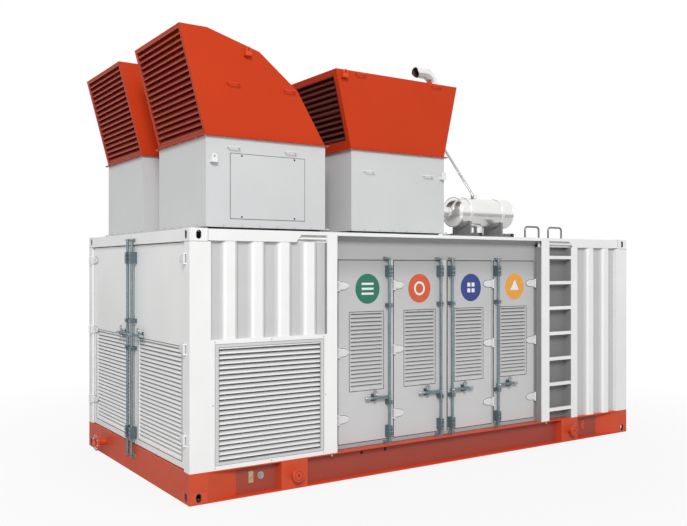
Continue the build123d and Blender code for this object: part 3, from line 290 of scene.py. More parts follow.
def painted(name, colour, rough=0.38, coat=0.12, mottle=0.05, peel=0.10, gloss=0.5):
    """Sprayed paint on steel: faint clouding, uneven gloss and an orange-peel skin."""
    n = Nodes(name)
    cloud = n.ramp(n.noise(1.7, 4.0), 0.0, 1.0)
    base = n.mix(cloud, shade(colour, 1.0 - mottle), colour)
    speck = n.ramp(n.noise(38.0, 2.0), 0.0, 0.35, 0.55, 0.75)
    n.link(n.mix(speck, base, shade(colour, 1.0 - 1.6 * mottle)), n.bsdf.inputs["Base Color"])
    n.link(n.ramp(n.noise(6.0, 3.0), rough - 0.015, rough + 0.025), n.bsdf.inputs["Roughness"])
    n.bsdf.inputs["Specular IOR Level"].default_value = gloss
    n.bsdf.inputs["Coat Weight"].default_value = coat
    n.bsdf.inputs["Coat Roughness"].default_value = 0.22
    n.bump(n.noise(330.0, 2.0), peel, 0.0006)
    return n.material


def zinc(name, colour, rough=0.42, metal=0.75):
    """Hot-dip zinc: patchwork spangle, dull patches and a fine grain."""
    n = Nodes(name)
    spangle = n.add("ShaderNodeTexVoronoi", Scale=120.0)
    n.link(n.coords, spangle.inputs["Vector"])
    cell = n.add("ShaderNodeSeparateColor")
    n.link(spangle.outputs["Color"], cell.inputs["Color"])
    patch = n.ramp(cell.outputs["Red"], 0.0, 1.0, 0.1, 0.9)
    base = n.mix(patch, shade(colour, 0.82), shade(colour, 1.18))
    dull = n.ramp(n.noise(9.0, 3.0), 0.0, 0.5)
    n.link(n.mix(dull, base, shade(colour, 0.7)), n.bsdf.inputs["Base Color"])
    n.link(n.ramp(n.noise(24.0, 3.0), rough - 0.08, rough + 0.1), n.bsdf.inputs["Roughness"])
    n.bsdf.inputs["Metallic"].default_value = metal
    n.bump(n.noise(260.0, 2.0), 0.12, 0.0005)
    return n.material


def brushed(name, colour, rough=0.22, metal=0.9, stretch=(4, 160, 160)):
    """Brushed sheet: fine lines along the length and slight heat tint."""
    n = Nodes(name)
    lines = n.noise(1.0, 5.0, stretch)
    base = n.mix(n.ramp(lines, 0.0, 1.0), shade(colour, 0.94), colour)
    tint = n.ramp(n.noise(2.6, 3.0), 0.0, 0.07)
    n.link(n.mix(tint, base, (0.60, 0.52, 0.42)), n.bsdf.inputs["Base Color"])
    n.link(n.ramp(lines, rough - 0.05, rough + 0.06), n.bsdf.inputs["Roughness"])
    n.bsdf.inputs["Metallic"].default_value = metal
    n.bump(lines, 0.006, 0.0003)
    return n.material


def rubber(name, colour):
    """Matt moulded rubber with a fine grain."""
    n = Nodes(name)
    grain = n.ramp(n.noise(40.0, 3.0), 0.0, 1.0)
    n.link(n.mix(grain, colour, shade(colour, 1.5)), n.bsdf.inputs["Base Color"])
    n.bsdf.inputs["Roughness"].default_value = 0.75
    n.bump(n.noise(500.0, 2.0), 0.2, 0.0004)
    return n.material


def two_finishes(name, axis, limit, low, high, metals=(0.0, 0.0), blend=0.0005, mirrored=False):
    """One finish below a plane across an axis, another above it."""
    n = Nodes(name)
    side = n.ramp(n.along(axis, mirrored), 0.0, 1.0, limit - blend, limit + blend)
    cloud = n.ramp(n.noise(4.0, 3.0), 0.0, 1.0)
    tones = [n.mix(cloud, shade(c, 0.97), c) for c in (low, high)]
    n.link(n.mix(side, tones[0], tones[1]), n.bsdf.inputs["Base Color"])
    n.link(n.ramp(side, metals[0], metals[1], 0.0, 1.0), n.bsdf.inputs["Metallic"])
    n.link(n.ramp(n.noise(24.0, 3.0), 0.36, 0.48), n.bsdf.inputs["Roughness"])
    n.bump(n.noise(260.0, 2.0), 0.10, 0.0005)
    return n.material


def louvred(name, colour, deep, face, axis, inward, spans, mirrored=False, head=None):
    """Paint with painted shade toward the back of the blades inside a window, and painted shade up toward
    the head.
    """
    n = Nodes(name)
    reach = n.add("ShaderNodeMath", operation="SUBTRACT")
    n.link(n.along(axis, mirrored), reach.inputs[0])
    reach.inputs[1].default_value = face
    depth = n.product(reach.outputs[0], n.constant(inward))
    window = [n.between(n.along(key, key == "X" and mirrored), low, high)
              for key, (low, high) in spans.items()]
    # Painted shade between the blades, darker with depth behind the face
    mask = n.product(n.ramp(depth, 0.0, 1.0, *BLADE_SHADE_RAMP), n.between(depth, *BLADE_SHADE_SPAN), *window)
    cloud = n.ramp(n.noise(1.7, 4.0), 0.0, 1.0)
    base = n.mix(cloud, shade(colour, 0.96), colour)
    # Painted shade under the bay header: darker over the top metre of the leaf, and darker still over its
    # top 0.2 m
    if head:
        base = n.mix(n.ramp(n.along("Z"), 0.0, 1.0, head - 1.1, head - 0.1), base, shade(colour, 0.84))
        base = n.mix(n.ramp(n.along("Z"), 0.0, 1.0, head - 0.20, head), base, shade(colour, 0.60))
    n.link(n.mix(mask, base, deep), n.bsdf.inputs["Base Color"])
    n.link(n.ramp(n.noise(6.0, 3.0), 0.34, 0.45), n.bsdf.inputs["Roughness"])
    n.bump(n.noise(330.0, 2.0), 0.10, 0.0006)
    return n.material


def casting_paint(name, colour, z_low, z_high):
    """Paint with painted shade on the walls of the holes and on the cavity walls inside the hollow castings.
    """
    n = Nodes(name)
    skin = CASTING_SKIN
    cavity = n.product(n.between(n.along("X", True), LENGTH / 2 - CASTING[0] + skin, LENGTH / 2 - skin),
                       n.between(n.along("Y", True), WIDTH / 2 - CASTING[1] + skin, WIDTH / 2 - skin),
                       n.between(n.along("Z"), z_low + skin, z_high - skin))
    middle, half_w, half_h, rim = (z_low + z_high) / 2, 0.0265, 0.041, (0.027, 0.004)
    holes = []
    for across, reach, along, spot in (("X", LENGTH / 2, "Y", WIDTH / 2 - CASTING[1] / 2),
                                       ("Y", WIDTH / 2, "X", LENGTH / 2 - CASTING[0] / 2)):
        holes.append(n.product(n.between(n.along(across, True), reach - rim[0], reach - rim[1]),
                               n.between(n.along(along, True), spot - half_w, spot + half_w),
                               n.between(n.along("Z"), middle - half_h, middle + half_h)))
    cloud = n.ramp(n.noise(6.0, 4.0), 0.0, 1.0)
    base = n.mix(cloud, shade(colour, 0.92), colour)
    # Painted shade on the hole walls, then on the cavity walls inside the casting
    for hole in holes:
        base = n.mix(hole, base, HOLE_SHADE_GREY)
    n.link(n.mix(cavity, base, SOOT_AND_SHADE), n.bsdf.inputs["Base Color"])
    n.link(n.ramp(n.noise(9.0, 3.0), 0.36, 0.48), n.bsdf.inputs["Roughness"])
    n.bump(n.noise(150.0, 3.0), 0.25, 0.0008)
    return n.material


shell_paint = painted("shell_paint", WHITE)
plenum_paint = painted("plenum_paint", PALE_GREY, rough=0.34, mottle=0.04)
skid_paint = painted("skid_paint", SKID_RED, rough=0.42, coat=0.04, mottle=0.08, gloss=0.35)
hood_paint = painted("hood_paint", HOOD_ORANGE, rough=0.50, coat=0.0, mottle=0.04, gloss=0.20)
rod_zinc = zinc("rod_zinc", ZINC)
bright_zinc = zinc("bright_zinc", (0.46, 0.50, 0.52), rough=0.34)
silencer_steel = brushed("silencer_steel", SILVER, rough=0.17, metal=0.92, stretch=(2, 30, 30))
# Painted shadow: the hood curbs are near black, standing in for the shadow gap under the plenum flanges
curb_shadow_paint = painted("curb_shadow_paint", CURB_SHADOW_BLACK, rough=0.6, coat=0.0)
seam_paint = painted("seam_paint", SEAM_GREY, mottle=0.03)
strap_paint = painted("strap_paint", STRAP_WHITE, rough=0.34, coat=0.2, mottle=0.03)
# Painted shade on the set-back side louvre frames
frame_shade_paint = painted("frame_shade_paint", FRAME_SHADE_GREY, mottle=0.03)
gas_paint = painted("gas_paint", FLANGE_RED, rough=0.38, coat=0.1, mottle=0.06)
hoop_steel = brushed("hoop_steel", TUBE_GREY, rough=0.32, metal=0.8, stretch=(90, 90, 90))
deck_paint = painted("deck_paint", DECK, rough=0.55, coat=0.0, mottle=0.2, peel=0.3)
seal_rubber = rubber("seal_rubber", RUBBER)
joint_grey = rubber("joint_grey", (0.20, 0.20, 0.205))
# Painted shade of the door bay on the side leaves and bay posts
door_paint = painted("door_paint", DOOR_SHADE_GREY, mottle=0.03)
# Painted shade: bay headers and sills are a darker grey standing in for the shade in the door bay
header_shade_paint = painted("header_shade_paint", HEADER_SHADE_GREY, mottle=0.03)
# Painted shade: the wall panel troughs, set back more than 24 mm, take a grey standing in for their shade;
# the crests stay white
panel_trough_shade_paint = two_finishes("panel_trough_shade_paint", "Y", WIDTH / 2 - 0.024, TROUGH_SHADE_GREY, WHITE,
                           blend=0.007, mirrored=True)
# Painted shade: the recessed webs of the side beams take a dark red standing in for their shade; the flanges
# keep the bright red
beam_web_shade_paint = two_finishes("beam_web_shade_paint", "Y", WIDTH / 2 - 0.070, WEB_SHADE_RED, FLANGE_RED,
                          blend=0.004, mirrored=True)
cradle_steel = two_finishes("cradle_steel", "Z", SILENCER_Z - 0.110, CRADLE_GREY, SILVER, metals=(0.5, 0.9))
side_louvre_paint = louvred("side_louvre_paint", WHITE, SIDE_BLADE_SHADE, WIDTH / 2, "Y", -1.0,
                            {"Z": (BASE_H + 0.042, 1.400)}, mirrored=True)
# Painted shade and shadow: bay posts take the shaded door grey, and the strip past the last door a darker
# grey for the ladder post's shadow
strip_shadow_paint = two_finishes("strip_shadow_paint", "X", X0 + BAY_END_STRIP, DOOR_SHADE_GREY, STRIP_SHADOW_GREY, blend=0.002)
# Painted shade: the side posts' faces behind their front face take a dark grey standing in for the shade in
# the bay reveals
side_post_reveal_shade_paint = two_finishes("side_post_reveal_shade_paint", "Y", WIDTH / 2 - 0.006, REVEAL_SHADE_GREY, WHITE,
                               blend=0.003, mirrored=True)
# Painted shadow: the centre cowl's blades are much darker than the near and far ones, standing in for the
# shadow the near hoods cast
blade_paint_and_shadow = two_finishes("blade_paint_and_shadow", "X", X0 + 1.0, BLADE_RED, CENTRE_BLADE_SHADOW)
bottom_casting_paint = casting_paint("bottom_casting_paint", SKID_RED, 0.0, CASTING[2])
top_casting_paint = casting_paint("top_casting_paint", WHITE, HEIGHT - CASTING[2], HEIGHT)
# Painted shade: the ladder backs are a dark grey standing in for the shade of a deep ladder recess
ladder_back_shade_paint = painted("ladder_back_shade_paint", LADDER_BACK_SHADE_GREY, rough=0.5, coat=0.0)
soot_and_shade = rubber("soot_and_shade", SOOT_AND_SHADE)
fitting_paint = two_finishes("fitting_paint", "Z", COWL_Z, FITTING_WHITE, shade(HOOD_ORANGE, 1.25))


def dress_nodes():
    """Gives each carried-over node its finish."""
    red = {"base_corners", "lifting_blocks", "base_end_beams", "floor_bearers"}
    finishes = {"floor_deck": deck_paint, "grab_hoops": hoop_steel, "rod_keepers": bright_zinc,
                "cowl_louvres": blade_paint_and_shadow, "side_louvres": side_louvre_paint,
                "bottom_castings": bottom_casting_paint, "top_castings": top_casting_paint,
                "ladder_backs": ladder_back_shade_paint,
                "hood_lugs_and_grips": fitting_paint, "bay_headers_and_sills": header_shade_paint,
                "bay_posts": strip_shadow_paint, "far_side_door_leaves": door_paint, "side_posts": side_post_reveal_shade_paint,
                "hood_curbs": curb_shadow_paint, "gas_inlet": gas_paint,
                "side_wall_panels": panel_trough_shade_paint, "base_side_beams": beam_web_shade_paint,
                "silencer_cradles": cradle_steel}
    for name, obj in nodes.items():
        if name in finishes:
            finish = finishes[name]
        elif name in red:
            finish = skid_paint
        elif name.startswith("cowl_"):
            finish = hood_paint
        elif name.startswith("plenum_"):
            finish = plenum_paint
        elif name.startswith(("silencer_", "exhaust_", "stack_")):
            finish = silencer_steel
        elif "lock_rod" in name:
            finish = rod_zinc
        elif name.startswith("side_door_"):
            finish = door_paint
        else:
            finish = shell_paint
        obj.data.materials.clear()
        obj.data.materials.append(finish)


# Mesh tools

def to_object(name, bm, material, body, smooth=False):
    """Turns a bmesh into a piece that rides on a body."""
    mesh = bpy.data.meshes.new(name)
    bmesh.ops.recalc_face_normals(bm, faces=bm.faces)
    bm.to_mesh(mesh)
    bm.free()
    for polygon in mesh.polygons:
        polygon.use_smooth = smooth
    mesh.materials.append(material)
    obj = bpy.data.objects.new(name, mesh)
    bpy.context.scene.collection.objects.link(obj)
    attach(obj, body)
    return obj


def facing(normal, up=(0, 0, 1)):
    """Rotation whose Z axis is the normal."""
    z = Vector(normal).normalized()
    x = Vector(up).cross(z)
    if x.length < 1e-6:
        x = Vector((1, 0, 0))
    x.normalize()
    return Matrix((x, z.cross(x), z)).transposed().to_4x4()


def lathe(bm, centre, normal, profile, sides):
    """Ring faces through (radius, height) pairs about an axis; a zero radius closes the end."""
    place = Matrix.Translation(centre) @ facing(normal)
    rings = []
    for radius, height in profile:
        if radius == 0:
            rings.append([bm.verts.new(place @ Vector((0, 0, height)))])
            continue
        ring = []
        for i in range(sides):
            angle = 2 * math.pi * i / sides
            spot = Vector((radius * math.cos(angle), radius * math.sin(angle), height))
            ring.append(bm.verts.new(place @ spot))
        rings.append(ring)
    for low, high in zip(rings, rings[1:]):
        for i in range(sides):
            j = (i + 1) % sides
            corners = [low[i % len(low)], low[j % len(low)], high[j % len(high)], high[i % len(high)]]
            unique = list(dict.fromkeys(corners))
            if len(unique) > 2:
                bm.faces.new(unique)


def hex_bolt(bm, centre, normal, size=0.016):
    """Hexagon head with a chamfered crown on a round washer."""
    washer_r = size * 0.78
    lathe(bm, centre, normal, [(washer_r, 0), (washer_r, size * 0.12), (0, size * 0.12)], 12)
    r = size / math.sqrt(3)
    start = size * 0.12
    top = start + size * 0.55
    lathe(bm, centre, normal, [(r, start), (r, top - size * 0.08), (r * 0.84, top), (0, top)], 6)


def pan_screw(bm, centre, normal, radius=0.006):
    """Domed screw head with a shallow socket."""
    h = radius * 0.55
    profile = [(radius, 0), (radius * 0.92, h * 0.6), (radius * 0.6, h),
               (radius * 0.42, h), (radius * 0.36, h * 0.3), (0, h * 0.3)]
    lathe(bm, centre, normal, profile, 10)


def bead(bm, points, radius=0.004, step=0.012):
    """Weld bead: a half-sunk tube with small ripples along a polyline."""
    for a, b in zip(points, points[1:]):
        a, b = Vector(a), Vector(b)
        along = b - a
        count = max(2, int(along.length / step))
        turn = facing(along, up=(0.3, 0.5, 0.8))
        rings = []
        for i in range(count + 1):
            at = a + along * (i / count)
            r = radius * (1.0 + 0.16 * noise.noise(at * 90.0))
            place = Matrix.Translation(at) @ turn
            ring = [bm.verts.new(place @ Vector((r * math.cos(t), r * math.sin(t), 0)))
                    for t in (math.pi * k / 3 for k in range(6))]
            rings.append(ring)
        for low, high in zip(rings, rings[1:]):
            for i in range(6):
                j = (i + 1) % 6
                bm.faces.new([low[i], low[j], high[j], high[i]])


def slab(bm, low, high, edge=0.0015):
    """Thin plate between two corners with chamfered edges."""
    low, high = Vector(low), Vector(high)
    centre = (low + high) / 2
    size = high - low
    place = Matrix.Translation(centre) @ Matrix.Diagonal((*size, 1.0))
    made = bmesh.ops.create_cube(bm, size=1.0, matrix=place)
    edges = {e for v in made["verts"] for e in v.link_edges}
    bmesh.ops.bevel(bm, geom=list(edges), offset=min(edge, min(size) * 0.3), segments=1, affect="EDGES")


# Places on the doors

DOORS = {}
for key in ("side_door_1", "side_door_2", "side_door_3", "side_door_4"):
    low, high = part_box(key + "_leaf")
    left = key[-1] in "12"
    DOORS[key] = {"hinge": low.x if left else high.x, "way": 1.0 if left else -1.0, "width": high.x - low.x,
                  "z0": low.z, "z1": high.z, "side": True, "flip": 1, "body": key}
    DOORS["far_" + key] = {**DOORS[key], "flip": -1, "body": "frame"}
for key in ("end_door_near", "end_door_far"):
    low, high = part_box(key + "_leaf")
    near = key.endswith("near")
    DOORS[key] = {"hinge": low.y if near else high.y, "way": 1.0 if near else -1.0, "width": high.y - low.y,
                  "z0": low.z, "z1": high.z, "side": False, "flip": 1, "body": key}


def on_door(door, x, proud, z):
    """A point x from the hinge edge along the leaf, proud of its outer face."""
    if door["side"]:
        return Vector((door["hinge"] + door["way"] * x, door["flip"] * (RECESS_Y - proud), z))
    return Vector((END_X - proud, door["hinge"] + door["way"] * x, z))


def outward(door):
    return Vector((0, -door["flip"], 0)) if door["side"] else Vector((-1, 0, 0))


def louvre_window(key, door):
    """Near and far edge of a door's louvre from the hinge, and its bottom and top."""
    if not door["side"]:
        hinge_margin, free_margin = END_LOUVRE_MARGINS
        bottom, top = END_LOUVRE_UP
        return hinge_margin, door["width"] - free_margin, door["z0"] + bottom, door["z0"] + top
    margin = DOOR_LOUVRE_MARGINS[0 if key[-1] in "12" else 1]
    far = door["width"] - margin
    bottom, top = DOOR_LOUVRE_UP
    return far - DOOR_LOUVRE_W, far, door["z0"] + bottom, door["z0"] + top


def leaf_paint(key, door):
    """Leaf paint with painted shade between the louvre blades, and on side leaves painted shade toward the
    head.
    """
    near, far, low, high = louvre_window(key, door)
    edges = sorted(door["hinge"] + door["way"] * x for x in (near + DOOR_LOUVRE_BAR, far - DOOR_LOUVRE_BAR))
    spans = {"X" if door["side"] else "Y": edges, "Z": (low + DOOR_LOUVRE_BAR, high - DOOR_LOUVRE_BAR)}
    # Side leaves take the grey of painted bay shade; end leaves keep the white
    colour = DOOR_SHADE_GREY if door["side"] else WHITE
    face, axis = (RECESS_Y, "Y") if door["side"] else (END_X, "X")
    head = door["z1"] + 0.01 if door["side"] else None
    return louvred(key + "_paint", colour, BLADE_SHADE, face, axis, 1.0, spans, head=head)


def strap_cap(bm, door, z, grow, levels):
    """Cover of a strap, or the black pad under it that stands in for its shadow outline, square at the hinge
    and round-nosed, in (proud, inset) steps.
    """
    half_h = STRAP_HALF_H + grow
    curve = [(STRAP_STRAIGHT + (STRAP_NOSE + grow) * math.sin(a), half_h * math.cos(a))
             for a in (math.pi / 2 * i / 9 for i in range(10))]
    outline = [(STRAP_START, half_h)] + curve
    outline += [(x, -h) for x, h in reversed(outline[:-1])]
    rings = []
    for proud, shrink in levels:
        ring = []
        for x, h in outline:
            reach = math.hypot(x - STRAP_MIDDLE, h)
            k = 1.0 - shrink / reach
            ring.append(bm.verts.new(on_door(door, STRAP_MIDDLE + (x - STRAP_MIDDLE) * k, proud, z + h * k)))
        rings.append(ring)
    for low, high in zip(rings, rings[1:]):
        for i in range(len(low)):
            j = (i + 1) % len(low)
            bm.faces.new([low[i], low[j], high[j], high[i]])
    bm.faces.new(rings[-1])
    bm.faces.new(rings[0])


def finish_node(name, material):
    materials = nodes[name].data.materials
    materials.clear()
    materials.append(material)


def hardware_finish(name, doors):
    """White straps on the hinge half of each leaf, zinc rod guides on the other half."""
    n = Nodes(name + "_strap_and_guides")
    place = n.along("X" if doors[0]["side"] else "Y")
    strap = n.constant(0.0)
    for door in doors:
        ends = sorted((door["hinge"] - door["way"] * 0.06, door["hinge"] + door["way"] * 0.20))
        either = n.add("ShaderNodeMath", operation="MAXIMUM")
        n.link(strap, either.inputs[0])
        n.link(n.between(place, *ends), either.inputs[1])
        strap = either.outputs[0]
    cloud = n.ramp(n.noise(24.0, 3.0), 0.0, 1.0)
    tones = [n.mix(cloud, shade(c, 0.93), c) for c in (GUIDE_ZINC, STRAP_WHITE)]
    n.link(n.mix(strap, tones[0], tones[1]), n.bsdf.inputs["Base Color"])
    n.link(n.ramp(strap, 0.6, 0.0, 0.0, 1.0), n.bsdf.inputs["Metallic"])
    n.link(n.ramp(n.noise(24.0, 3.0), 0.34, 0.46), n.bsdf.inputs["Roughness"])
    n.bump(n.noise(260.0, 2.0), 0.10, 0.0005)
    return n.material


def dress_doors():
    """Strap covers and screws, seals and louvre screws of every door, and the finish of its nodes."""
    for key, door in DOORS.items():
        hinges = HINGE_Z if door["side"] else END_HINGE_Z
        normal = outward(door)
        body = door["body"]
        cap_lift, cap_chamfer = THIN_CAP if key.endswith("side_door_4") else CAP
        cap_levels = ((0.0, 0.0), (cap_lift - cap_chamfer, 0.0), (cap_lift, cap_chamfer * 2))
        caps = bmesh.new()
        pad_shadows = bmesh.new()
        bolts = bmesh.new()
        for z in hinges:
            # Painted shadow: a black rubber pad a little larger than each strap cover, its rim standing in
            # for the cover's shadow outline
            strap_cap(pad_shadows, door, z, PAD_GROW, ((0.0, 0.0), (PAD_T, 0.0)))
            strap_cap(caps, door, z, 0.0, cap_levels)
            for x, rise in STRAP_SCREWS:
                pan_screw(bolts, on_door(door, x, cap_lift, z + rise), normal, 0.0065)
        to_object(key + "_strap_caps", caps, strap_paint, body)
        to_object(key + "_strap_pad_shadows", pad_shadows, seal_rubber, body)
        to_object(key + "_strap_screws", bolts, strap_paint, body, smooth=True)
        seal = bmesh.new()
        near, far, low, high = louvre_window(key, door)
        frames = ((0.0, door["width"], door["z0"], door["z1"], 0.0044, -0.0034),
                  (near, far, low, high, 0.0030, 0.0))
        for x0, x1, z0, z1, radius, proud in frames:
            ring = [on_door(door, x, proud, z) for x, z in ((x0, z0), (x1, z0), (x1, z1), (x0, z1))]
            bead(seal, ring + ring[:1], radius=radius, step=0.08)
        to_object(key + "_seal", seal, seal_rubber, body, smooth=True)
        screws = bmesh.new()
        quarters = (low * 0.75 + high * 0.25, low * 0.25 + high * 0.75)
        spots = [(x, z) for z in (low + 0.009, high - 0.009)
                 for x in (near + 0.05, (near + far) / 2, far - 0.05)]
        spots += [(x, z) for x in (near + 0.009, far - 0.009) for z in quarters]
        for x, z in spots:
            pan_screw(screws, on_door(door, x, 0.0, z), normal, 0.0055)
        to_object(key + "_louvre_screws", screws, bright_zinc, body, smooth=True)
        if body == key:
            finish_node(key + "_leaf", leaf_paint(key, door))
            finish_node(key + "_hardware", hardware_finish(key, [door]))
    side_doors = [door for key, door in DOORS.items() if key.startswith("far_")]
    low, high = louvre_window("far_side_door_1", side_doors[0])[2:]
    span = {"Z": (low + DOOR_LOUVRE_BAR, high - DOOR_LOUVRE_BAR)}
    # Far leaves: painted bay shade in their grey, painted shade toward the head and between the blades
    finish_node("far_side_door_leaves", louvred("far_leaf_paint", DOOR_SHADE_GREY, BLADE_SHADE, -RECESS_Y,
                                                "Y", -1.0, span, head=side_doors[0]["z1"] + 0.01))
    finish_node("far_side_door_hardware", hardware_finish("far_side_door", side_doors))


def lock_details():
    """Guide screws, the flap and stop of each keeper, and the hub bolt and sleeve of each handle."""
    for key, door in DOORS.items():
        side = door["side"]
        rod_x = door["width"] - (SIDE_ROD_INSET if side else END_ROD_INSET)
        handle_z = door["z0"] + (SIDE_HANDLE_UP if side else END_HANDLE_UP)
        up, down = (SIDE_GUIDES_UP, SIDE_GUIDES_DOWN) if side else (END_GUIDES_UP, END_GUIDES_DOWN)
        places = [door["z0"] + z for z in up] + [door["z1"] - z for z in down]
        normal = outward(door)
        along = (on_door(door, 0.0, 0.0, 0.0) - on_door(door, 1.0, 0.0, 0.0)).normalized()
        fixed = bmesh.new()
        for z in places:
            tall = z in (places[0], places[-1])
            for dx in (-0.0135, 0.0135):
                for dz in ((-0.042, 0.0, 0.042) if tall else (-0.010, 0.010)):
                    pan_screw(fixed, on_door(door, rod_x + dx, GUIDE_PROUD, z + dz), normal, 0.0062)
        catch_x = rod_x - CATCH_FROM_ROD
        lathe(fixed, on_door(door, catch_x, CATCH_PROUD, handle_z + 0.048), normal,
              [(0.0295, 0), (0.0285, 0.0025), (0.021, 0.0025), (0.019, 0.001), (0.009, 0.001),
               (0.007, 0.004), (0, 0.004)], 24)
        lathe(fixed, on_door(door, catch_x, 0.006, handle_z - 0.0335), normal,
              [(0.0090, 0), (0.0090, 0.040), (0.0065, 0.046), (0, 0.046)], 12)
        to_object(key + "_lock_fixings", fixed, bright_zinc, door["body"], smooth=False)
        moving = bmesh.new()
        hex_bolt(moving, on_door(door, rod_x, ROD_PROUD + HUB_R, handle_z), normal, 0.018)
        lathe(moving, on_door(door, rod_x - HANDLE_L, ROD_PROUD, handle_z), along,
              [(0.0, -0.060), (0.0150, -0.058), (0.0150, 0.0), (0.010, 0.007), (0, 0.009)], 16)
        lock_body = key + "_lock_rod_body" if door["body"] == key else "frame"
        to_object(key + "_handle_fittings", moving, bright_zinc, lock_body, smooth=False)


STICKERS = {"side_door_1": (2.017, 1.871, (0.018, 0.165, 0.105), "bars"),
            "side_door_2": (2.705, 1.866, (0.62, 0.105, 0.035), "ring"),
            "side_door_3": (3.452, 1.865, (0.030, 0.050, 0.235), "squares"),
            "side_door_4": (4.143, 1.868, (0.78, 0.36, 0.055), "wedge")}
STICKER_R = 0.153


def film(name, colour):
    """Printed vinyl film with a faint grain."""
    n = Nodes(name)
    grain = n.ramp(n.noise(20.0, 3.0), 0.0, 1.0)
    n.link(n.mix(grain, shade(colour, 0.92), colour), n.bsdf.inputs["Base Color"])
    n.link(n.ramp(n.noise(60.0, 2.0), 0.30, 0.40), n.bsdf.inputs["Roughness"])
    n.bump(n.noise(700.0, 2.0), 0.05, 0.0002)
    return n.material


def flat_shape(bm, outline, at, lift):
    """Filled outline on a side door's face, with a thin edge."""
    top = [bm.verts.new(Vector((at.x + x, at.y - lift, at.z + z))) for x, z in outline]
    foot = [bm.verts.new(Vector((at.x + x, at.y, at.z + z))) for x, z in outline]
    bm.faces.new(top)
    for i in range(len(top)):
        j = (i + 1) % len(top)
        bm.faces.new([top[i], top[j], foot[j], foot[i]])


def box_outline(x0, x1, z0, z1):
    return [(x0, z0), (x1, z0), (x1, z1), (x0, z1)]


def ring_sector(r0, r1, start, end, steps=40):
    angles = [start + (end - start) * i / steps for i in range(steps + 1)]
    outer = [(r1 * math.cos(a), r1 * math.sin(a)) for a in angles]
    inner = [(r0 * math.cos(a), r0 * math.sin(a)) for a in reversed(angles)]
    return outer + inner


def stick_discs():
    """Plain coloured discs on the service doors, each with simple geometric marks."""
    mark = film("disc_mark", (0.80, 0.81, 0.81))
    marks = {"bars": [box_outline(-0.075, 0.075, z - 0.011, z + 0.011) for z in (-0.05, 0.0, 0.05)],
             "ring": [ring_sector(0.052, 0.074, 0.0, math.pi),
                      ring_sector(0.052, 0.074, math.pi, 2 * math.pi)],
             "squares": [box_outline(x - 0.022, x + 0.022, z - 0.022, z + 0.022)
                         for x in (-0.032, 0.032) for z in (-0.032, 0.032)],
             "wedge": [[(-0.070, -0.040), (0.070, -0.040), (0.0, 0.078)]]}
    for key, (u, z, colour, kind) in STICKERS.items():
        at = Vector((X0 + u, RECESS_Y, z))
        disc = bmesh.new()
        flat_shape(disc, ring_sector(0.0005, STICKER_R, 0.0, math.pi, 36), at, 0.0008)
        flat_shape(disc, ring_sector(0.0005, STICKER_R, math.pi, 2 * math.pi, 36), at, 0.0008)
        to_object(key + "_disc", disc, film(key + "_film", colour), key)
        shapes = bmesh.new()
        for outline in marks[kind]:
            flat_shape(shapes, outline, at, 0.0014)
        to_object(key + "_disc_marks", shapes, mark, key)


# Frame details

def four_corners():
    for sx in (-1, 1):
        for sy in (-1, 1):
            yield sx, sy


def weld_castings():
    """Weld beads where the castings meet posts and rails."""
    for name, z, paint in (("bottom", CASTING[2], skid_paint), ("top", HEIGHT - CASTING[2], seam_paint)):
        bm = bmesh.new()
        for sx, sy in four_corners():
            x_out, y_out = sx * LENGTH / 2, sy * WIDTH / 2
            x_in, y_in = x_out - sx * CASTING[0], y_out - sy * CASTING[1]
            far = HEIGHT if name == "top" else 0.0
            bead(bm, [(x_out, y_in, z), (x_out, y_out, z), (x_in, y_out, z)], 0.0030)
            bead(bm, [(x_in, y_out, z), (x_in, y_out, far)], 0.0030)
        to_object(f"{name}_casting_welds", bm, paint, "frame", smooth=True)


def skid_details():
    """Earth terminal, round gland, small plates and studs on the skid's webs."""
    for side in (-1, 1):
        y = side * -WEB_Y
        tag = "near" if side < 0 else "far"
        normal = Vector((0, side, 0))
        strip = bmesh.new()
        slab(strip, (X0 + 0.628, y - 0.005, 0.098), (X0 + 0.678, y + 0.005, 0.208))
        bronze = brushed(f"earth_bar_{tag}_bronze", (0.62, 0.45, 0.26), metal=0.5)
        to_object(f"earth_bar_{tag}", strip, bronze, "frame")
        heads = bmesh.new()
        hex_bolt(heads, Vector((X0 + 0.653, y + side * 0.005, 0.153)), normal, 0.018)
        lathe(heads, Vector((X0 + 0.756, y, 0.155)), normal,
              [(0.034, 0), (0.034, 0.006), (0.028, 0.008), (0.024, 0.006), (0.012, 0.006),
               (0.010, 0.012), (0, 0.012)], 24)
        for u in (1.505, 4.560):
            lathe(heads, Vector((X0 + u, side * WIDTH / 2 - side * 0.004, BASE_H - 0.020)), normal,
                  [(0.010, 0), (0.010, 0.010), (0.006, 0.014), (0, 0.014)], 14)
        to_object(f"skid_bolts_{tag}", heads, bright_zinc, "frame", smooth=False)
        plate = bmesh.new()
        slab(plate, (X0 + 5.288, y - 0.006, 0.100), (X0 + 5.328, y + 0.006, 0.208), 0.003)
        to_object(f"skid_plate_{tag}", plate, skid_paint, "frame")


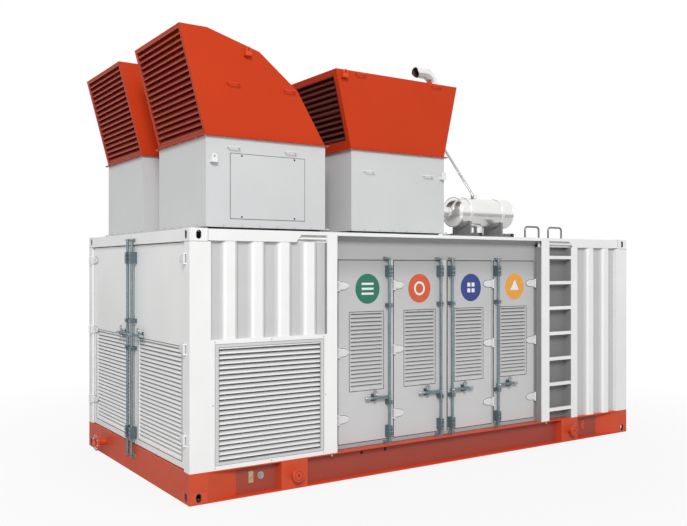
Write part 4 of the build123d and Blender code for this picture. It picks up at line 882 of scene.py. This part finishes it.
def roof_bolts():
    """Bolts along the plenum and cowl flanges."""
    for name in ("near", "far", "centre"):
        low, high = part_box(f"plenum_{name}")
        x0, x1 = low.x + FLANGE_OUT / 2, high.x - FLANGE_OUT / 2
        y0, y1 = low.y + FLANGE_OUT / 2, high.y - FLANGE_OUT / 2
        bm = bmesh.new()
        pitch = 0.18
        nx = int((x1 - x0) / pitch)
        ny = int((y1 - y0) / pitch)
        spots = [(x0 + (x1 - x0) * i / nx, y) for i in range(nx + 1) for y in (y0, y1)]
        spots += [(x, y0 + (y1 - y0) * i / ny) for i in range(1, ny) for x in (x0, x1)]
        for x, y in spots:
            hex_bolt(bm, Vector((x, y, PLENUM_Z)), Vector((0, 0, 1)), 0.015)
            hex_bolt(bm, Vector((x, y, COWL_Z)), Vector((0, 0, -1)), 0.013)
        to_object(f"plenum_{name}_bolts", bm, bright_zinc, "frame")


def access_covers():
    """Screwed cover on the outer face of the near and far plenums."""
    for side, name in SIDES:
        y = side * (WIDTH / 2 - PLENUM_FROM_SIDE)
        y_out = y + side * COVER_T
        cover = bmesh.new()
        u0, u1, z0, z1 = COVER
        slab(cover, (X0 + u0, min(y, y_out), z0), (X0 + u1, max(y, y_out), z1), 0.001)
        to_object(f"plenum_{name}_cover", cover, plenum_paint, "frame")
        line = bmesh.new()
        corners = [(X0 + u, y, z) for u, z in box_outline(*COVER_JOINT)]
        bead(line, corners + corners[:1], radius=0.0028, step=0.1)
        to_object(f"plenum_{name}_cover_gasket", line, seal_rubber, "frame", smooth=True)
        screws = bmesh.new()
        for u in COVER_SCREWS_U:
            for z in COVER_SCREWS_Z:
                pan_screw(screws, Vector((X0 + u, y_out, z)), Vector((0, side, 0)), 0.009)
        to_object(f"plenum_{name}_cover_screws", screws, seal_rubber, "frame", smooth=True)


def louvre_frames():
    """Cover frame set back in each side louvre, painted a grey standing in for the shade of its recess, and
    the dark joint round it.
    """
    for side, tag in SIDES:
        u0, u1 = POST_L + LOUVRE_BAR, LOUVRE_END - LOUVRE_BAR
        z0, z1 = BASE_H + LOUVRE_BAR, LOUVRE_TOP - LOUVRE_BAR
        wide, tall, front, back = 0.040, 0.030, 0.0012, 0.0038
        frame_bars = bmesh.new()
        y = sorted((side * (WIDTH / 2 - front), side * (WIDTH / 2 - back)))
        for a, b, c, d in ((u0, u0 + wide, z0, z1), (u1 - wide, u1, z0, z1),
                           (u0 + wide, u1 - wide, z0, z0 + tall), (u0 + wide, u1 - wide, z1 - tall, z1)):
            slab(frame_bars, (X0 + a, y[0], c), (X0 + b, y[1], d), 0.0005)
        to_object(f"side_louvre_frame_{tag}", frame_bars, frame_shade_paint, "frame")
        joint = bmesh.new()
        edge = side * (WIDTH / 2 - 0.0015)
        for inset, inset_z in ((0.0, 0.0), (wide, tall)):
            corners = box_outline(u0 + inset, u1 - inset, z0 + inset_z, z1 - inset_z)
            ring = [Vector((X0 + u, edge, z)) for u, z in corners]
            bead(joint, ring + ring[:1], radius=0.0026, step=0.1)
        to_object(f"side_louvre_joint_{tag}", joint, joint_grey, "frame", smooth=True)


def trunnion_caps():
    """Turned ring on the end disc of each lifting trunnion, with a black centre disc and a black bead at the
    foot of its rim standing in for the shade of the socket and groove.
    """
    for side, tag in SIDES:
        ring = bmesh.new()
        hole = bmesh.new()
        for u in (TRUNNION_FROM_END, LENGTH - TRUNNION_FROM_END):
            at = Vector((X0 + u, side * (WIDTH / 2 + TRUNNION_OUT), BASE_H / 2))
            lathe(ring, at, Vector((0, side, 0)),
                  [(0.062, 0), (0.060, 0.003), (0.046, 0.003), (0.044, 0.001), (0.020, 0.001),
                   (0.020, 0.006), (0.012, 0.006), (0.011, 0.002), (0, 0.002)], 32)
            # Painted shade: black disc in the centre socket and black bead in the groove
            lathe(hole, at + Vector((0, side * 0.0025, 0)), Vector((0, side, 0)), [(0.0105, 0), (0, 0)], 20)
            bead_ring = [at + Vector((0.045 * math.cos(a), side * 0.002, 0.045 * math.sin(a)))
                         for a in (math.pi * i / 16 for i in range(33))]
            bead(hole, bead_ring, radius=0.0022, step=0.01)
        to_object(f"trunnion_rings_{tag}", ring, gas_paint, "frame", smooth=False)
        to_object(f"trunnion_socket_shades_{tag}", hole, seal_rubber, "frame", smooth=True)


def louvre_screws():
    """Small screws round the frames of the side louvre panels."""
    for side, tag in SIDES:
        bm = bmesh.new()
        y = side * WIDTH / 2
        spots = [(u, z) for u in (0.247, 0.830, 1.412) for z in (0.300, 1.422)]
        spots += [(u, 0.860) for u in (0.227, 1.433)]
        for u, z in spots:
            pan_screw(bm, Vector((X0 + u, y, z)), Vector((0, side, 0)), 0.007)
        to_object(f"side_louvre_screws_{tag}", bm, bright_zinc, "frame", smooth=True)


def silencer_details():
    """Seam bands, band bolts and flange bolts of the exhaust."""
    bm = bmesh.new()
    for u in SILENCER_SEAMS:
        lathe(bm, Vector((X0 + u - 0.006, SILENCER_Y, SILENCER_Z)), Vector((1, 0, 0)),
              [(SILENCER_R, 0), (SILENCER_R + 0.003, 0.002), (SILENCER_R + 0.003, 0.010),
               (SILENCER_R, 0.012)], 48)
    to_object("silencer_seams", bm, silencer_steel, "frame", smooth=True)
    bolts = bmesh.new()
    for u in CRADLES_FROM_END:
        for side in (-1, 1):
            for lift in (-0.030, 0.030):
                x, y = X0 + u + lift * 0.6, SILENCER_Y + side * CRADLE_BOLT_OUT
                hex_bolt(bolts, Vector((x, y, ROOF_Z + CRADLE_H)), Vector((0, 0, 1)), 0.016)
    for angle in EIGHT_BOLTS:
        x = X0 + RISER_FROM_END + RISER_BOLT_R * math.cos(angle)
        y = SILENCER_Y + RISER_BOLT_R * math.sin(angle)
        hex_bolt(bolts, Vector((x, y, ROOF_Z + RISER_FLANGE_T)), Vector((0, 0, 1)), 0.016)
    to_object("silencer_bolts", bolts, bright_zinc, "frame")


def outlet_soot():
    """Dark sleeve with a closed end inside the exhaust outlet: soot, and painted shade for the depth of the
    pipe.
    """
    bm = bmesh.new()
    tip = Vector((X0 + STACK_FROM_END - SOOT_FROM_STACK, SILENCER_Y, OUTLET_Z))
    lathe(bm, tip, Vector((1, 0, 0)), [(SOOT_R, 0), (SOOT_R, SOOT_DEPTH), (0, SOOT_DEPTH)], 40)
    to_object("outlet_soot", bm, soot_and_shade, "frame", smooth=True)


def drain_hole_shades():
    """Dark cups behind the drain holes in the webs: painted shade for the inside of the beams seen through
    the holes.
    """
    for side, tag in SIDES:
        bm = bmesh.new()
        for u in DRAINS_FROM_END:
            at = Vector((X0 + u, side * (WIDTH / 2 - BEAM_D - WEB_T), DRAIN_Z))
            lathe(bm, at, Vector((0, -side, 0)), [(0.0215, -0.0002), (0.0215, 0.006), (0, 0.006)], 24)
        to_object(f"drain_hole_shades_{tag}", bm, soot_and_shade, "frame", smooth=True)


def gas_bolts():
    """Nuts and bolt heads on both faces of the gas flange."""
    back, front = GAS_FLANGE_FACES
    bm = bmesh.new()
    for angle in EIGHT_BOLTS:
        y = Y0 + GAS_FROM_SIDE + GAS_BOLT_R * math.cos(angle)
        z = GAS_Z + GAS_BOLT_R * math.sin(angle)
        hex_bolt(bm, Vector((X0 - back, y, z)), Vector((1, 0, 0)), 0.014)
        hex_bolt(bm, Vector((X0 - front, y, z)), Vector((-1, 0, 0)), 0.016)
    to_object("gas_flange_nuts", bm, bright_zinc, "frame")


# Stage, light and camera

def stage():
    mesh = bpy.data.meshes.new("floor")
    size = 60.0
    corners = [(x, y, 0) for x, y in box_outline(-size, size, -size, size)]
    mesh.from_pydata(corners, [], [(0, 1, 2, 3)])
    floor = bpy.data.objects.new("floor", mesh)
    bpy.context.scene.collection.objects.link(floor)
    n = Nodes("floor_white")
    n.bsdf.inputs["Base Color"].default_value = (0.55, 0.55, 0.55, 1)
    n.bsdf.inputs["Roughness"].default_value = 0.9
    path = n.add("ShaderNodeLightPath")
    glow = n.add("ShaderNodeEmission", Color=(1, 1, 1, 1), Strength=1.0)
    away = n.add("ShaderNodeVectorMath", operation="LENGTH")
    n.link(n.coords, away.inputs[0])
    weight = n.add("ShaderNodeMath", operation="MULTIPLY")
    n.link(n.ramp(away.outputs["Value"], 0.88, 1.0, 3.2, 7.0), weight.inputs[1])
    blend = n.add("ShaderNodeMixShader")
    n.link(path.outputs["Is Camera Ray"], weight.inputs[0])
    n.link(weight.outputs[0], blend.inputs[0])
    n.link(n.bsdf.outputs[0], blend.inputs[1])
    n.link(glow.outputs[0], blend.inputs[2])
    output = n.tree.nodes["Material Output"]
    n.link(blend.outputs[0], output.inputs["Surface"])
    mesh.materials.append(n.material)


def world():
    scene = bpy.context.scene
    made = bpy.data.worlds.new("studio")
    scene.world = made
    made.use_nodes = True
    tree = made.node_tree
    tree.nodes.clear()
    output = tree.nodes.new("ShaderNodeOutputWorld")
    path = tree.nodes.new("ShaderNodeLightPath")
    light = tree.nodes.new("ShaderNodeBackground")
    light.inputs["Color"].default_value = (1.0, 1.0, 1.0, 1)
    light.inputs["Strength"].default_value = 0.50
    seen = tree.nodes.new("ShaderNodeBackground")
    seen.inputs["Color"].default_value = (1, 1, 1, 1)
    seen.inputs["Strength"].default_value = 1.0
    either = tree.nodes.new("ShaderNodeMath")
    either.operation = "MAXIMUM"
    mix = tree.nodes.new("ShaderNodeMixShader")
    tree.links.new(path.outputs["Is Camera Ray"], either.inputs[0])
    tree.links.new(path.outputs["Is Glossy Ray"], either.inputs[1])
    tree.links.new(either.outputs[0], mix.inputs[0])
    tree.links.new(light.outputs[0], mix.inputs[1])
    tree.links.new(seen.outputs[0], mix.inputs[2])
    tree.links.new(mix.outputs[0], output.inputs["Surface"])


def area_light(name, at, target, size, power):
    data = bpy.data.lights.new(name, "AREA")
    data.shape = "SQUARE"
    data.size = size
    data.energy = power
    lamp = bpy.data.objects.new(name, data)
    lamp.location = at
    lamp.rotation_euler = (Vector(target) - Vector(at)).to_track_quat("-Z", "Y").to_euler()
    bpy.context.scene.collection.objects.link(lamp)


def camera():
    data = bpy.data.cameras.new("camera")
    data.sensor_fit = "HORIZONTAL"
    data.sensor_width = SENSOR
    data.lens = FOCAL_PX / PHOTO_W * SENSOR
    data.shift_x = (PHOTO_W / 2 - CENTRE_PX) / PHOTO_W
    data.shift_y = (HORIZON_PX - PHOTO_H / 2) / PHOTO_W
    data.clip_end = 200.0
    obj = bpy.data.objects.new("camera", data)
    obj.location = CAMERA_AT
    obj.rotation_euler = (math.pi / 2, 0.0, math.atan2(-CAMERA_AIM[0], CAMERA_AIM[1]))
    bpy.context.scene.collection.objects.link(obj)
    bpy.context.scene.camera = obj


camera()
stage()
world()
area_light("key", (-15.0, -23.0, 16.5), (0.0, 0.0, 1.5), 9.0, 6600.0)

dress_nodes()
dress_doors()
lock_details()
stick_discs()
weld_castings()
skid_details()
roof_bolts()
access_covers()
louvre_frames()
trunnion_caps()
louvre_screws()
silencer_details()
outlet_soot()
drain_hole_shades()
gas_bolts()

bpy.context.scene.view_settings.view_transform = "Standard"

bpy.context.view_layer.update()
